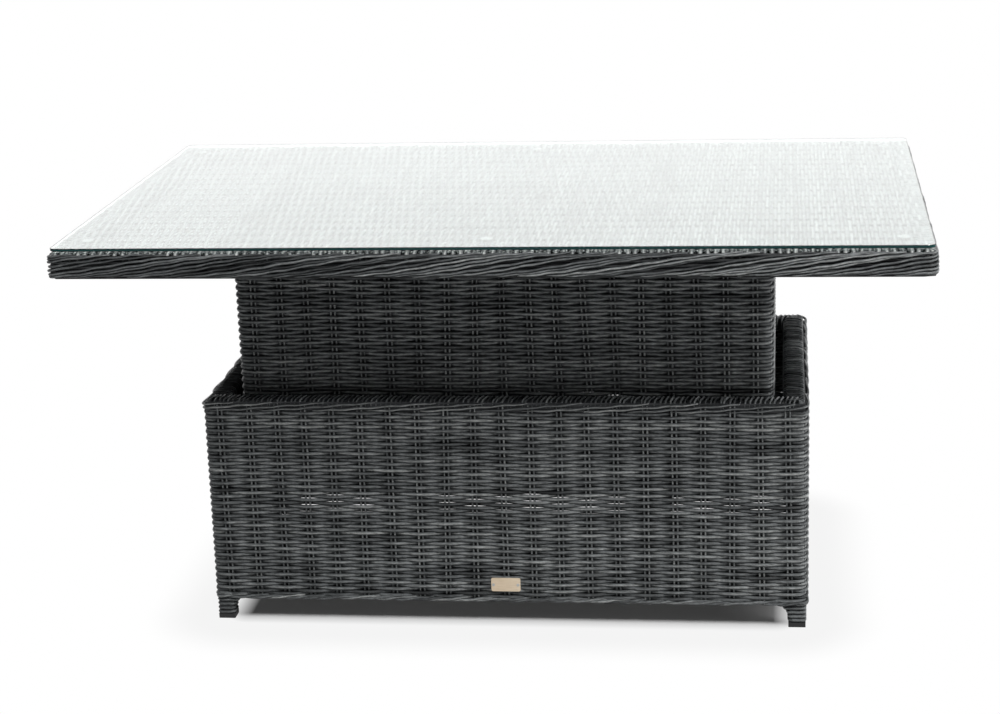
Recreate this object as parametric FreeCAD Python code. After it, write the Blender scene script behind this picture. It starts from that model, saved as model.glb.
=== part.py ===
import FreeCAD, Part
import os

# Convertible coffee and dining table in woven wicker, in millimetres.
# A woven skirt hangs under the table top and telescopes into a woven base.
# Two lift columns with locking gas springs carry the top at any height between
# coffee and dining height. A paddle under the right end of the top frees them.
# The table stands raised. The origin is on the floor under the middle of the
# table, +X to the right, +Y to the rear, +Z up.

Vector = FreeCAD.Vector

# Overall sizes
TOP_LENGTH = 1412.0
TOP_DEPTH = 904.0
BASE_LENGTH = 1024.0
BASE_DEPTH = 576.0
BASE_HEIGHT = 398.0
WALL_CLEARANCE = 37.0
SKIRT_END_GAP = 15.0
SKIRT_SIDE_GAP = 8.0
CLOSED_GAP = 4.0

# Woven and wrapped wicker
WEAVE = 7.0
WALL_CORNER_RADIUS = 18.0
RIM_WRAP = 4.0
RIM_ROLL = 15.0
LEG_WRAP = 3.5
TOP_WEAVE = 8.0
TOP_RIM = 8.0
TOP_CORNER_RADIUS = 16.0
WALL_ROW_PITCH = 5.95
TOP_STRAND_PITCH = 6.6
GROOVE_WIDTH = 3.0
GROOVE_DEPTH = 2.5
GROOVE_CUT_SPARE = 1.0

# Glass and its pads
GLASS_THICKNESS = 5.0
GLASS_INSET = 6.0
GLASS_CORNER_RADIUS = 12.0
GLASS_ARRIS = 0.8
PAD_THICKNESS = 2.0
PAD_DIAMETER = 20.0
PAD_FROM_END = 45.0
PAD_FROM_SIDE = 68.0

# Frame tubes
TUBE_WALL = 1.5
POST_SIZE = 25.0
RAIL_SIZE = 20.0
BOTTOM_RAIL_LIFT = 4.0
BEARER_WIDTH = 60.0
TOP_TUBE = 25.0
SKIRT_TUBE = 20.0
SKIRT_FLOOR_GAP = 11.0

# Feet
FOOT_SIZE = 29.0
FOOT_HEIGHT = 8.0
FOOT_SPIGOT = 20.0
FOOT_EDGE_RADIUS = 2.0
PLUG_CLEARANCE = 0.2

# Lift columns
COLUMN_X = 230.0
COLUMN_WALL = 2.0
INNER_TUBE = 40.0
BUSH_WALL = 2.7
COLUMN_BELOW_RIM = 18.0
COLUMN_OVERLAP = 60.0
BUSH_LENGTH = 35.0
BUSH_LIP = 4.0
SLIDING_GAP = 0.3
FITTED_GAP = 0.1
FLANGE_THICKNESS = 5.0
FLANGE_LENGTH = 110.0
FLANGE_BOLT_Y = 42.0
COLUMN_END_GAP = 4.0
HEAD_LENGTH = 110.0
HEAD_THICKNESS = 5.0
HEAD_BOLT_X = 42.0
TOP_BEARER_Y = 60.0

# Gas springs
CYLINDER_DIAMETER = 28.0
CYLINDER_WALL = 2.0
CYLINDER_FLOOR = 8.0
CYLINDER_BELOW_COLUMN = 24.0
CYLINDER_STUD_DIAMETER = 8.0
CYLINDER_STUD_LENGTH = 6.0
GLAND_LENGTH = 15.0
PISTON_LENGTH = 12.0
PISTON_FROM_GLAND = 3.0
ROD_DIAMETER = 10.0
ROD_END_DIAMETER = 8.0
ROD_NUT_HEIGHT = 4.0
ROD_NUT_FLATS = 13.0
VALVE_PIN_DIAMETER = 4.0
VALVE_PIN_RISE = 5.7
VALVE_PIN_DEPTH = 20.0
VALVE_BORE_SPARE = 8.0

# Release shaft and paddle
SHAFT_DIAMETER = 10.0
SHAFT_PAST_EAR = 12.0
FINGER_REACH = 22.0
FINGER_PAST_PIN = 6.0
FINGER_THICKNESS = 6.0
FINGER_WIDTH = 10.0
FINGER_GAP = 0.3
EAR_OFFSET = 30.0
EAR_THICKNESS = 5.0
EAR_MARGIN = 5.0
SHAFT_BUSH_WALL = 2.0
SHAFT_BUSH_LIP = 2.0
PADDLE_WIDTH = 80.0
PADDLE_REACH = 60.0
PADDLE_THICKNESS = 4.0
PADDLE_HUB_WALL = 3.0
PADDLE_DROP = 2.0
PADDLE_LIP = 6.0

# Fasteners
BOLT_DIAMETER = 8.0
BOLT_HEAD_FLATS = 13.0
BOLT_HEAD_HEIGHT = 5.5
NUT_HEIGHT = 6.5
HEAD_BOLT_GRIP = 17.0
BOLT_HOLE_CLEARANCE = 0.2

# Blank name plate
PLATE_LENGTH = 50.0
PLATE_HEIGHT = 24.0
PLATE_THICKNESS = 1.5
PLATE_Z = 72.0
PLATE_CORNER_RADIUS = 3.0
RIVET_DIAMETER = 3.0
RIVET_HEAD_DIAMETER = 5.0
RIVET_HEAD_HEIGHT = 1.0
RIVET_LENGTH = 7.0
RIVET_FROM_END = 4.0

# Heights in the base
TOP_RAIL_UPPER = BASE_HEIGHT - RIM_WRAP
TOP_RAIL_LOWER = TOP_RAIL_UPPER - RAIL_SIZE
BOTTOM_RAIL_LOWER = WALL_CLEARANCE + BOTTOM_RAIL_LIFT
BOTTOM_RAIL_UPPER = BOTTOM_RAIL_LOWER + RAIL_SIZE
FLANGE_UPPER = BOTTOM_RAIL_UPPER + FLANGE_THICKNESS
COLUMN_UPPER = BASE_HEIGHT - COLUMN_BELOW_RIM

# Travel of the lift, down to where the inner tubes come near their flanges
INNER_TUBE_LOWER = COLUMN_UPPER - COLUMN_OVERLAP
LIFT_TRAVEL = INNER_TUBE_LOWER - FLANGE_UPPER - COLUMN_END_GAP
SKIRT_LOWER = BOTTOM_RAIL_UPPER + SKIRT_FLOOR_GAP + LIFT_TRAVEL

# Heights of the raised top, from its rim up
TOP_RIM_LOWER = BASE_HEIGHT + CLOSED_GAP + LIFT_TRAVEL
TOP_FRAME_LOWER = TOP_RIM_LOWER + TOP_RIM
TOP_FRAME_UPPER = TOP_FRAME_LOWER + TOP_TUBE
TOP_WEAVE_UPPER = TOP_FRAME_UPPER + TOP_WEAVE
GLASS_BOTTOM = TOP_WEAVE_UPPER + PAD_THICKNESS
TABLE_HEIGHT = GLASS_BOTTOM + GLASS_THICKNESS

# Places across the frames
RIM_WIDTH = WEAVE + RAIL_SIZE + RIM_ROLL
SKIRT_LENGTH = BASE_LENGTH - 2 * (RIM_WIDTH + SKIRT_END_GAP)
SKIRT_DEPTH = BASE_DEPTH - 2 * (RIM_WIDTH + SKIRT_SIDE_GAP)
POST_X = BASE_LENGTH / 2 - WEAVE - POST_SIZE / 2
POST_Y = BASE_DEPTH / 2 - WEAVE - POST_SIZE / 2
SKIRT_POST_X = SKIRT_LENGTH / 2 - WEAVE - SKIRT_TUBE / 2
SKIRT_POST_Y = SKIRT_DEPTH / 2 - WEAVE - SKIRT_TUBE / 2
TOP_TUBE_X = TOP_LENGTH / 2 - TOP_RIM - TOP_TUBE / 2
TOP_TUBE_Y = TOP_DEPTH / 2 - TOP_RIM - TOP_TUBE / 2

# Sections and heights of the lift columns
OUTER_TUBE_BORE = INNER_TUBE + 2 * (SLIDING_GAP + BUSH_WALL)
OUTER_TUBE = OUTER_TUBE_BORE + 2 * COLUMN_WALL
HEAD_LOWER = TOP_FRAME_LOWER - HEAD_THICKNESS
HEAD_DEPTH = 2 * TOP_BEARER_Y + TOP_TUBE
CYLINDER_UPPER = COLUMN_UPPER - CYLINDER_BELOW_COLUMN
CYLINDER_BORE = CYLINDER_DIAMETER - 2 * CYLINDER_WALL
PISTON_UPPER = CYLINDER_UPPER - GLAND_LENGTH - PISTON_FROM_GLAND
ROD_END_UPPER = TOP_FRAME_LOWER + ROD_NUT_HEIGHT

# Release shaft, which lies beside the valve pins, and its paddle in the middle of the overhang
FINGER_LOWER = ROD_END_UPPER + VALVE_PIN_RISE + FINGER_GAP
SHAFT_Y = FINGER_REACH
SHAFT_Z = FINGER_LOWER + FINGER_THICKNESS / 2
SHAFT_X_LEFT = -COLUMN_X - EAR_OFFSET - SHAFT_PAST_EAR
PADDLE_X = (SKIRT_POST_X + SKIRT_TUBE / 2 + TOP_TUBE_X - TOP_TUBE / 2) / 2
SHAFT_X_RIGHT = PADDLE_X + PADDLE_WIDTH / 2

SIDES = {"left": -1, "right": 1}
ENDS = {"front": -1, "rear": 1}

nodes = {}


def block(x0, x1, y0, y1, z0, z1):
    """Box between two opposite corners."""
    return Part.makeBox(x1 - x0, y1 - y0, z1 - z0, Vector(x0, y0, z0))


def centred_block(x, y, length, depth, z0, z1):
    """Box with its plan centred on x, y."""
    return block(x - length / 2, x + length / 2, y - depth / 2, y + depth / 2, z0, z1)


def cylinder(x, y, diameter, z0, z1):
    """Upright round bar."""
    return Part.makeCylinder(diameter / 2, z1 - z0, Vector(x, y, z0))


def bar_along_x(y, z, diameter, x0, x1):
    """Round bar that lies along X."""
    return Part.makeCylinder(diameter / 2, x1 - x0, Vector(x0, y, z), Vector(1, 0, 0))


def hexagon(x, y, flats, z0, z1):
    """Hexagonal prism, given by its width across flats."""
    corner_radius = flats / 3 ** 0.5
    corners = []
    for corner in range(7):
        turn = FreeCAD.Rotation(Vector(0, 0, 1), 60 * corner)
        corners.append(Vector(x, y, z0) + turn.multVec(Vector(corner_radius, 0, 0)))
    return Part.Face(Part.makePolygon(corners)).extrude(Vector(0, 0, z1 - z0))


def upright_edges(shape):
    """Edges of a shape that run along Z."""
    return [edge for edge in shape.Edges if abs(edge.tangentAt(edge.FirstParameter).z) > 0.999]


def rounded_slab(length, depth, radius, z0, z1):
    """Flat slab about the Z axis with rounded corners in plan."""
    slab = centred_block(0, 0, length, depth, z0, z1)
    return slab.makeFillet(radius, upright_edges(slab))


def upright_tube(x, y, size, z0, z1):
    """Square frame tube that stands upright."""
    bore = size - 2 * TUBE_WALL
    return centred_block(x, y, size, size, z0, z1).cut(centred_block(x, y, bore, bore, z0, z1))


def tube_along_x(y, width, height, x0, x1, z0):
    """Rectangular frame tube that lies along X."""
    outside = block(x0, x1, y - width / 2, y + width / 2, z0, z0 + height)
    inside_y = width / 2 - TUBE_WALL
    inside = block(x0, x1, y - inside_y, y + inside_y, z0 + TUBE_WALL, z0 + height - TUBE_WALL)
    return outside.cut(inside)


def tube_along_y(x, width, height, y0, y1, z0):
    """Rectangular frame tube that lies along Y."""
    outside = block(x - width / 2, x + width / 2, y0, y1, z0, z0 + height)
    inside_x = width / 2 - TUBE_WALL
    inside = block(x - inside_x, x + inside_x, y0, y1, z0 + TUBE_WALL, z0 + height - TUBE_WALL)
    return outside.cut(inside)


def ring(length, depth, radius, wall, z0, z1):
    """Upright rectangular ring with rounded outer corners."""
    inside = centred_block(0, 0, length - 2 * wall, depth - 2 * wall, z0, z1)
    return rounded_slab(length, depth, radius, z0, z1).cut(inside)


def mitred_sides(shape, length, depth, wall):
    """Four sides of a rectangular ring, parted on the diagonals of its corners."""
    box = shape.BoundBox
    half_x = length / 2
    half_y = depth / 2
    spare = 1.0
    reach = wall + spare
    outer = [(-half_x - spare, -half_y - spare), (half_x + spare, -half_y - spare),
             (half_x + spare, half_y + spare), (-half_x - spare, half_y + spare)]
    inner = [(-half_x + reach, -half_y + reach), (half_x - reach, -half_y + reach),
             (half_x - reach, half_y - reach), (-half_x + reach, half_y - reach)]
    pieces = {}
    for index, side in enumerate(("front", "right", "rear", "left")):
        after = (index + 1) % 4
        outline = [outer[index], outer[after], inner[after], inner[index], outer[index]]
        wire = Part.makePolygon([Vector(x, y, box.ZMin - spare) for x, y in outline])
        prism = Part.Face(wire).extrude(Vector(0, 0, box.ZLength + 2 * spare))
        pieces[side] = shape.common(prism)
    return pieces


def add_sides(prefix, pieces):
    """Keep the four sides of a ring as nodes."""
    for side, piece in pieces.items():
        nodes[f"{prefix}_{side}"] = piece


def groove(start, end, inward):
    """V groove between two strands that lie side by side, from start to end along a face."""
    half_mouth = GROOVE_WIDTH / 2 * (1 + GROOVE_CUT_SPARE / GROOVE_DEPTH)
    beside = (end - start).normalize().cross(inward) * half_mouth
    mouth = start - inward * GROOVE_CUT_SPARE
    bottom = start + inward * GROOVE_DEPTH
    wire = Part.makePolygon([mouth + beside, mouth - beside, bottom, mouth + beside])
    return Part.Face(wire).extrude(end - start)


def even_places(low, high, pitch):
    """Places between strands that fill a span evenly, about a pitch apart."""
    strands = max(1, round((high - low) / pitch))
    return [low + (high - low) * number / strands for number in range(1, strands)]


def woven_ring(length, depth, z0, z1):
    """Woven wall round a box, with a groove between its rows of strands on the straight of each side."""
    half_x = length / 2 - WALL_CORNER_RADIUS
    half_y = depth / 2 - WALL_CORNER_RADIUS
    grooves = []
    for z in even_places(z0, z1, WALL_ROW_PITCH):
        for sign in (-1, 1):
            y = sign * depth / 2
            x = sign * length / 2
            grooves.append(groove(Vector(-half_x, y, z), Vector(half_x, y, z), Vector(0, -sign, 0)))
            grooves.append(groove(Vector(x, -half_y, z), Vector(x, half_y, z), Vector(-sign, 0, 0)))
    return ring(length, depth, WALL_CORNER_RADIUS, WEAVE, z0, z1).cut(Part.makeCompound(grooves))


def at_corners(x, y):
    """Names and places of the four corners of a rectangle."""
    for end, end_sign in ENDS.items():
        for side, side_sign in SIDES.items():
            yield f"{end}_{side}", side_sign * x, end_sign * y


# Base frame: posts on plastic feet, rails between them, two bearers for the columns
def make_base_frame():
    for corner, x, y in at_corners(POST_X, POST_Y):
        nodes[f"base_post_{corner}"] = upright_tube(x, y, POST_SIZE, FOOT_HEIGHT, TOP_RAIL_LOWER)
    rail_x = BASE_LENGTH / 2 - WEAVE - RAIL_SIZE / 2
    rail_y = BASE_DEPTH / 2 - WEAVE - RAIL_SIZE / 2
    over_posts = rail_x + RAIL_SIZE / 2
    between_rails = rail_y - RAIL_SIZE / 2
    between_posts_x = POST_X - POST_SIZE / 2
    between_posts_y = POST_Y - POST_SIZE / 2
    top_rails = []
    bottom_rails = []
    for sign in (-1, 1):
        top_rails.append(tube_along_x(sign * rail_y, RAIL_SIZE, RAIL_SIZE,
                                      -over_posts, over_posts, TOP_RAIL_LOWER))
        top_rails.append(tube_along_y(sign * rail_x, RAIL_SIZE, RAIL_SIZE,
                                      -between_rails, between_rails, TOP_RAIL_LOWER))
        bottom_rails.append(tube_along_x(sign * rail_y, RAIL_SIZE, RAIL_SIZE,
                                         -between_posts_x, between_posts_x, BOTTOM_RAIL_LOWER))
        bottom_rails.append(tube_along_y(sign * rail_x, RAIL_SIZE, RAIL_SIZE,
                                         -between_posts_y, between_posts_y, BOTTOM_RAIL_LOWER))
    nodes["base_top_rails"] = Part.makeCompound(top_rails)
    nodes["base_bottom_rails"] = Part.makeCompound(bottom_rails)
    for side, sign in SIDES.items():
        bearer = tube_along_y(sign * COLUMN_X, BEARER_WIDTH, RAIL_SIZE,
                              -between_rails, between_rails, BOTTOM_RAIL_LOWER)
        for hole in bearer_holes(sign * COLUMN_X, BOTTOM_RAIL_LOWER, BOTTOM_RAIL_UPPER):
            bearer = bearer.cut(hole)
        nodes[f"base_bearer_{side}"] = bearer


def bearer_holes(x, z0, z1):
    """Two bolt holes and the hole for the gas spring's stud, through a column's seat."""
    bolt_hole = BOLT_DIAMETER + 2 * BOLT_HOLE_CLEARANCE
    stud_hole = CYLINDER_STUD_DIAMETER + 2 * BOLT_HOLE_CLEARANCE
    holes = [cylinder(x, sign * FLANGE_BOLT_Y, bolt_hole, z0, z1) for sign in (-1, 1)]
    holes.append(cylinder(x, 0, stud_hole, z0, z1))
    return holes


def make_feet():
    spigot = POST_SIZE - 2 * TUBE_WALL - 2 * PLUG_CLEARANCE
    leg_wraps = []
    for corner, x, y in at_corners(POST_X, POST_Y):
        pad = centred_block(x, y, FOOT_SIZE, FOOT_SIZE, 0, FOOT_HEIGHT)
        pad = pad.makeFillet(FOOT_EDGE_RADIUS, upright_edges(pad))
        plug = centred_block(x, y, spigot, spigot, FOOT_HEIGHT, FOOT_HEIGHT + FOOT_SPIGOT)
        nodes[f"foot_cap_{corner}"] = pad.fuse(plug)
        wrapped = POST_SIZE + 2 * LEG_WRAP
        wrap = centred_block(x, y, wrapped, wrapped, FOOT_HEIGHT, WALL_CLEARANCE)
        wrap = wrap.makeFillet(LEG_WRAP, upright_edges(wrap))
        post_space = centred_block(x, y, POST_SIZE, POST_SIZE, FOOT_HEIGHT, WALL_CLEARANCE)
        leg_wraps.append(wrap.cut(post_space))
    nodes["leg_wraps"] = Part.makeCompound(leg_wraps)


# Woven walls of the base, the wrapped rim on top of them and the blank name plate
def make_base_wicker():
    walls = woven_ring(BASE_LENGTH, BASE_DEPTH, WALL_CLEARANCE, TOP_RAIL_LOWER)
    for x in rivet_places():
        walls = walls.cut(rivet_shank(x, RIVET_DIAMETER + 2 * FITTED_GAP))
    add_sides("base_weave", mitred_sides(walls, BASE_LENGTH, BASE_DEPTH, WEAVE))
    rim = ring(BASE_LENGTH, BASE_DEPTH, WALL_CORNER_RADIUS, RIM_WIDTH, TOP_RAIL_LOWER, BASE_HEIGHT)
    rail_length = BASE_LENGTH - 2 * WEAVE
    rail_depth = BASE_DEPTH - 2 * WEAVE
    rails = centred_block(0, 0, rail_length, rail_depth, TOP_RAIL_LOWER, TOP_RAIL_UPPER)
    rails = rails.cut(centred_block(0, 0, rail_length - 2 * RAIL_SIZE, rail_depth - 2 * RAIL_SIZE,
                                    TOP_RAIL_LOWER, TOP_RAIL_UPPER))
    add_sides("base_rim_wrap", mitred_sides(rim.cut(rails), BASE_LENGTH, BASE_DEPTH, RIM_WIDTH))


def rivet_places():
    """Places along X of the two rivets in the name plate."""
    return [sign * (PLATE_LENGTH / 2 - RIVET_FROM_END) for sign in (-1, 1)]


def rivet_shank(x, diameter):
    """Shank of a rivet, from the front of the name plate into the woven wall."""
    front = -BASE_DEPTH / 2 - PLATE_THICKNESS
    return Part.makeCylinder(diameter / 2, RIVET_LENGTH, Vector(x, front, PLATE_Z), Vector(0, 1, 0))


def make_name_plate():
    back = -BASE_DEPTH / 2
    front = back - PLATE_THICKNESS
    plate = block(-PLATE_LENGTH / 2, PLATE_LENGTH / 2, front, back,
                  PLATE_Z - PLATE_HEIGHT / 2, PLATE_Z + PLATE_HEIGHT / 2)
    corner_edges = [edge for edge in plate.Edges if abs(edge.tangentAt(edge.FirstParameter).y) > 0.999]
    plate = plate.makeFillet(PLATE_CORNER_RADIUS, corner_edges)
    rivets = []
    for x in rivet_places():
        plate = plate.cut(rivet_shank(x, RIVET_DIAMETER + 2 * FITTED_GAP))
        head = Part.makeCylinder(RIVET_HEAD_DIAMETER / 2, RIVET_HEAD_HEIGHT,
                                 Vector(x, front, PLATE_Z), Vector(0, -1, 0))
        rivets.append(head.fuse(rivet_shank(x, RIVET_DIAMETER)))
    nodes["name_plate"] = plate
    nodes["plate_rivets"] = Part.makeCompound(rivets)


# Lift columns: an outer tube with its bush and gas spring, an inner tube with its head plate
def make_outer_column(side, x):
    tube = centred_block(x, 0, OUTER_TUBE, OUTER_TUBE, FLANGE_UPPER, COLUMN_UPPER)
    tube = tube.cut(centred_block(x, 0, OUTER_TUBE_BORE, OUTER_TUBE_BORE, FLANGE_UPPER, COLUMN_UPPER))
    flange = centred_block(x, 0, BEARER_WIDTH, FLANGE_LENGTH, BOTTOM_RAIL_UPPER, FLANGE_UPPER)
    for hole in bearer_holes(x, BOTTOM_RAIL_UPPER, FLANGE_UPPER):
        flange = flange.cut(hole)
    nodes[f"column_outer_tube_{side}"] = tube.fuse(flange)
    bush_outside = OUTER_TUBE_BORE - 2 * FITTED_GAP
    bush_inside = INNER_TUBE + 2 * SLIDING_GAP
    sleeve = centred_block(x, 0, bush_outside, bush_outside, COLUMN_UPPER - BUSH_LENGTH, COLUMN_UPPER)
    lip = centred_block(x, 0, OUTER_TUBE, OUTER_TUBE, COLUMN_UPPER, COLUMN_UPPER + BUSH_LIP)
    passage = centred_block(x, 0, bush_inside, bush_inside,
                            COLUMN_UPPER - BUSH_LENGTH, COLUMN_UPPER + BUSH_LIP)
    nodes[f"column_bush_{side}"] = sleeve.fuse(lip).cut(passage)


def make_inner_column(side, x, sign):
    bore = INNER_TUBE - 2 * COLUMN_WALL
    tube = centred_block(x, 0, INNER_TUBE, INNER_TUBE, INNER_TUBE_LOWER, HEAD_LOWER)
    tube = tube.cut(centred_block(x, 0, bore, bore, INNER_TUBE_LOWER, HEAD_LOWER))
    head = centred_block(x, 0, HEAD_LENGTH, HEAD_DEPTH, HEAD_LOWER, TOP_FRAME_LOWER)
    head = head.cut(cylinder(x, 0, ROD_END_DIAMETER + 2 * FITTED_GAP, HEAD_LOWER, TOP_FRAME_LOWER))
    for bolt_x, bolt_y in head_bolt_places(x):
        head = head.cut(cylinder(bolt_x, bolt_y, BOLT_DIAMETER + 2 * BOLT_HOLE_CLEARANCE,
                                 HEAD_LOWER, TOP_FRAME_LOWER))
    ear_x = x + sign * EAR_OFFSET
    ear_half = SHAFT_DIAMETER / 2 + EAR_MARGIN
    ear = block(ear_x - EAR_THICKNESS / 2, ear_x + EAR_THICKNESS / 2,
                SHAFT_Y - ear_half, SHAFT_Y + ear_half, TOP_FRAME_LOWER, SHAFT_Z + ear_half)
    shaft_hole = bar_along_x(SHAFT_Y, SHAFT_Z, SHAFT_DIAMETER + 2 * FITTED_GAP,
                             ear_x - EAR_THICKNESS, ear_x + EAR_THICKNESS)
    nodes[f"column_inner_tube_{side}"] = tube.fuse(head).fuse(ear.cut(shaft_hole))


def head_bolt_places(x):
    """Places of the four bolts that hold a column's head plate to the two top bearers."""
    for bolt_sign in (-1, 1):
        for bearer_sign in (-1, 1):
            yield x + bolt_sign * HEAD_BOLT_X, bearer_sign * TOP_BEARER_Y


def make_gas_spring(side, x):
    barrel = cylinder(x, 0, CYLINDER_DIAMETER, FLANGE_UPPER, CYLINDER_UPPER)
    bore_lower = FLANGE_UPPER + CYLINDER_FLOOR
    barrel = barrel.cut(cylinder(x, 0, CYLINDER_BORE, bore_lower, CYLINDER_UPPER - GLAND_LENGTH))
    gland = cylinder(x, 0, ROD_DIAMETER + 2 * FITTED_GAP, CYLINDER_UPPER - GLAND_LENGTH, CYLINDER_UPPER)
    stud = cylinder(x, 0, CYLINDER_STUD_DIAMETER, FLANGE_UPPER - CYLINDER_STUD_LENGTH, FLANGE_UPPER)
    nodes[f"gas_cylinder_{side}"] = barrel.cut(gland).fuse(stud)

    piston = cylinder(x, 0, CYLINDER_BORE - 2 * FITTED_GAP, PISTON_UPPER - PISTON_LENGTH, PISTON_UPPER)
    rod = cylinder(x, 0, ROD_DIAMETER, PISTON_UPPER, HEAD_LOWER)
    rod_end = cylinder(x, 0, ROD_END_DIAMETER, HEAD_LOWER, ROD_END_UPPER)
    valve_lower = ROD_END_UPPER - VALVE_PIN_DEPTH
    valve_bore = cylinder(x, 0, VALVE_PIN_DIAMETER + 2 * FITTED_GAP,
                          valve_lower - VALVE_BORE_SPARE, ROD_END_UPPER)
    nodes[f"gas_rod_{side}"] = piston.fuse(rod).fuse(rod_end).cut(valve_bore)

    pin = cylinder(x, 0, VALVE_PIN_DIAMETER, valve_lower, ROD_END_UPPER + VALVE_PIN_RISE)
    nodes[f"valve_pin_{side}"] = pin


def make_columns():
    for side, sign in SIDES.items():
        x = sign * COLUMN_X
        make_outer_column(side, x)
        make_inner_column(side, x, sign)
        make_gas_spring(side, x)


def make_fasteners():
    base_bolts = []
    head_bolts = []
    for sign in SIDES.values():
        x = sign * COLUMN_X
        for bolt_sign in (-1, 1):
            y = bolt_sign * FLANGE_BOLT_Y
            head = hexagon(x, y, BOLT_HEAD_FLATS, FLANGE_UPPER, FLANGE_UPPER + BOLT_HEAD_HEIGHT)
            shank_lower = BOTTOM_RAIL_LOWER - NUT_HEIGHT
            base_bolts.append(head.fuse(cylinder(x, y, BOLT_DIAMETER, shank_lower, FLANGE_UPPER)))
            nut = hexagon(x, y, BOLT_HEAD_FLATS, shank_lower, BOTTOM_RAIL_LOWER)
            thread = cylinder(x, y, BOLT_DIAMETER + 2 * FITTED_GAP, shank_lower, BOTTOM_RAIL_LOWER)
            base_bolts.append(nut.cut(thread))
        for bolt_x, bolt_y in head_bolt_places(x):
            head = hexagon(bolt_x, bolt_y, BOLT_HEAD_FLATS, HEAD_LOWER - BOLT_HEAD_HEIGHT, HEAD_LOWER)
            shank = cylinder(bolt_x, bolt_y, BOLT_DIAMETER, HEAD_LOWER, HEAD_LOWER + HEAD_BOLT_GRIP)
            head_bolts.append(head.fuse(shank))
        nut = hexagon(x, 0, ROD_NUT_FLATS, TOP_FRAME_LOWER, ROD_END_UPPER)
        thread = cylinder(x, 0, ROD_END_DIAMETER + 2 * FITTED_GAP, TOP_FRAME_LOWER, ROD_END_UPPER)
        head_bolts.append(nut.cut(thread))
    nodes["column_bolts"] = Part.makeCompound(base_bolts)
    nodes["head_bolts"] = Part.makeCompound(head_bolts)


# Table top: a tube frame with cross members and bearers, its wicker and the glass
def make_top_frame():
    over_length = TOP_TUBE_X + TOP_TUBE / 2
    between_depth = TOP_TUBE_Y - TOP_TUBE / 2
    for end, sign in ENDS.items():
        nodes[f"top_frame_{end}"] = tube_along_x(sign * TOP_TUBE_Y, TOP_TUBE, TOP_TUBE,
                                                 -over_length, over_length, TOP_FRAME_LOWER)
    for side, sign in SIDES.items():
        nodes[f"top_frame_{side}"] = tube_along_y(sign * TOP_TUBE_X, TOP_TUBE, TOP_TUBE,
                                                  -between_depth, between_depth, TOP_FRAME_LOWER)
    for side, sign in SIDES.items():
        nodes[f"top_cross_member_{side}"] = tube_along_y(sign * SKIRT_POST_X, SKIRT_TUBE, TOP_TUBE,
                                                         -between_depth, between_depth, TOP_FRAME_LOWER)
    bush_hole = bar_along_x(SHAFT_Y, SHAFT_Z, shaft_bush_outside() + 2 * FITTED_GAP,
                            SKIRT_POST_X - SKIRT_TUBE, SKIRT_POST_X + SKIRT_TUBE)
    nodes["top_cross_member_right"] = nodes["top_cross_member_right"].cut(bush_hole)
    bearer_end = SKIRT_POST_X - SKIRT_TUBE / 2
    bearers = []
    for sign in (-1, 1):
        bearer = tube_along_x(sign * TOP_BEARER_Y, TOP_TUBE, TOP_TUBE, -bearer_end, bearer_end,
                              TOP_FRAME_LOWER)
        for column_sign in SIDES.values():
            for bolt_x, bolt_y in head_bolt_places(column_sign * COLUMN_X):
                bearer = bearer.cut(cylinder(bolt_x, bolt_y, BOLT_DIAMETER + 2 * BOLT_HOLE_CLEARANCE,
                                             TOP_FRAME_LOWER, TOP_FRAME_LOWER + TUBE_WALL))
        bearers.append(bearer)
    nodes["top_bearers"] = Part.makeCompound(bearers)


def make_top_wicker():
    slab = rounded_slab(TOP_LENGTH, TOP_DEPTH, TOP_CORNER_RADIUS, TOP_FRAME_UPPER, TOP_WEAVE_UPPER)
    rim_width = TOP_RIM + TOP_TUBE
    field_x = TOP_LENGTH / 2 - rim_width
    field_y = TOP_DEPTH / 2 - rim_width
    down = Vector(0, 0, -1)
    grooves = [groove(Vector(x, -field_y, TOP_WEAVE_UPPER), Vector(x, field_y, TOP_WEAVE_UPPER), down)
               for x in even_places(-field_x, field_x, TOP_STRAND_PITCH)]
    nodes["top_weave"] = slab.cut(Part.makeCompound(grooves))
    rim = ring(TOP_LENGTH, TOP_DEPTH, TOP_CORNER_RADIUS, rim_width, TOP_RIM_LOWER, TOP_FRAME_UPPER)
    tube_space = centred_block(0, 0, TOP_LENGTH - 2 * TOP_RIM, TOP_DEPTH - 2 * TOP_RIM,
                               TOP_FRAME_LOWER, TOP_FRAME_UPPER)
    add_sides("top_rim", mitred_sides(rim.cut(tube_space), TOP_LENGTH, TOP_DEPTH, rim_width))


def make_glass():
    length = TOP_LENGTH - 2 * GLASS_INSET
    depth = TOP_DEPTH - 2 * GLASS_INSET
    sheet = rounded_slab(length, depth, GLASS_CORNER_RADIUS, GLASS_BOTTOM, TABLE_HEIGHT)
    level_edges = [edge for edge in sheet.Edges if edge.BoundBox.ZLength < GLASS_ARRIS]
    nodes["glass_top"] = sheet.makeChamfer(GLASS_ARRIS, level_edges)
    pads = []
    for x in (-length / 2 + PAD_FROM_END, 0, length / 2 - PAD_FROM_END):
        for sign in (-1, 1):
            y = sign * (depth / 2 - PAD_FROM_SIDE)
            pads.append(cylinder(x, y, PAD_DIAMETER, TOP_WEAVE_UPPER, GLASS_BOTTOM))
    nodes["glass_pads"] = Part.makeCompound(pads)


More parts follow.
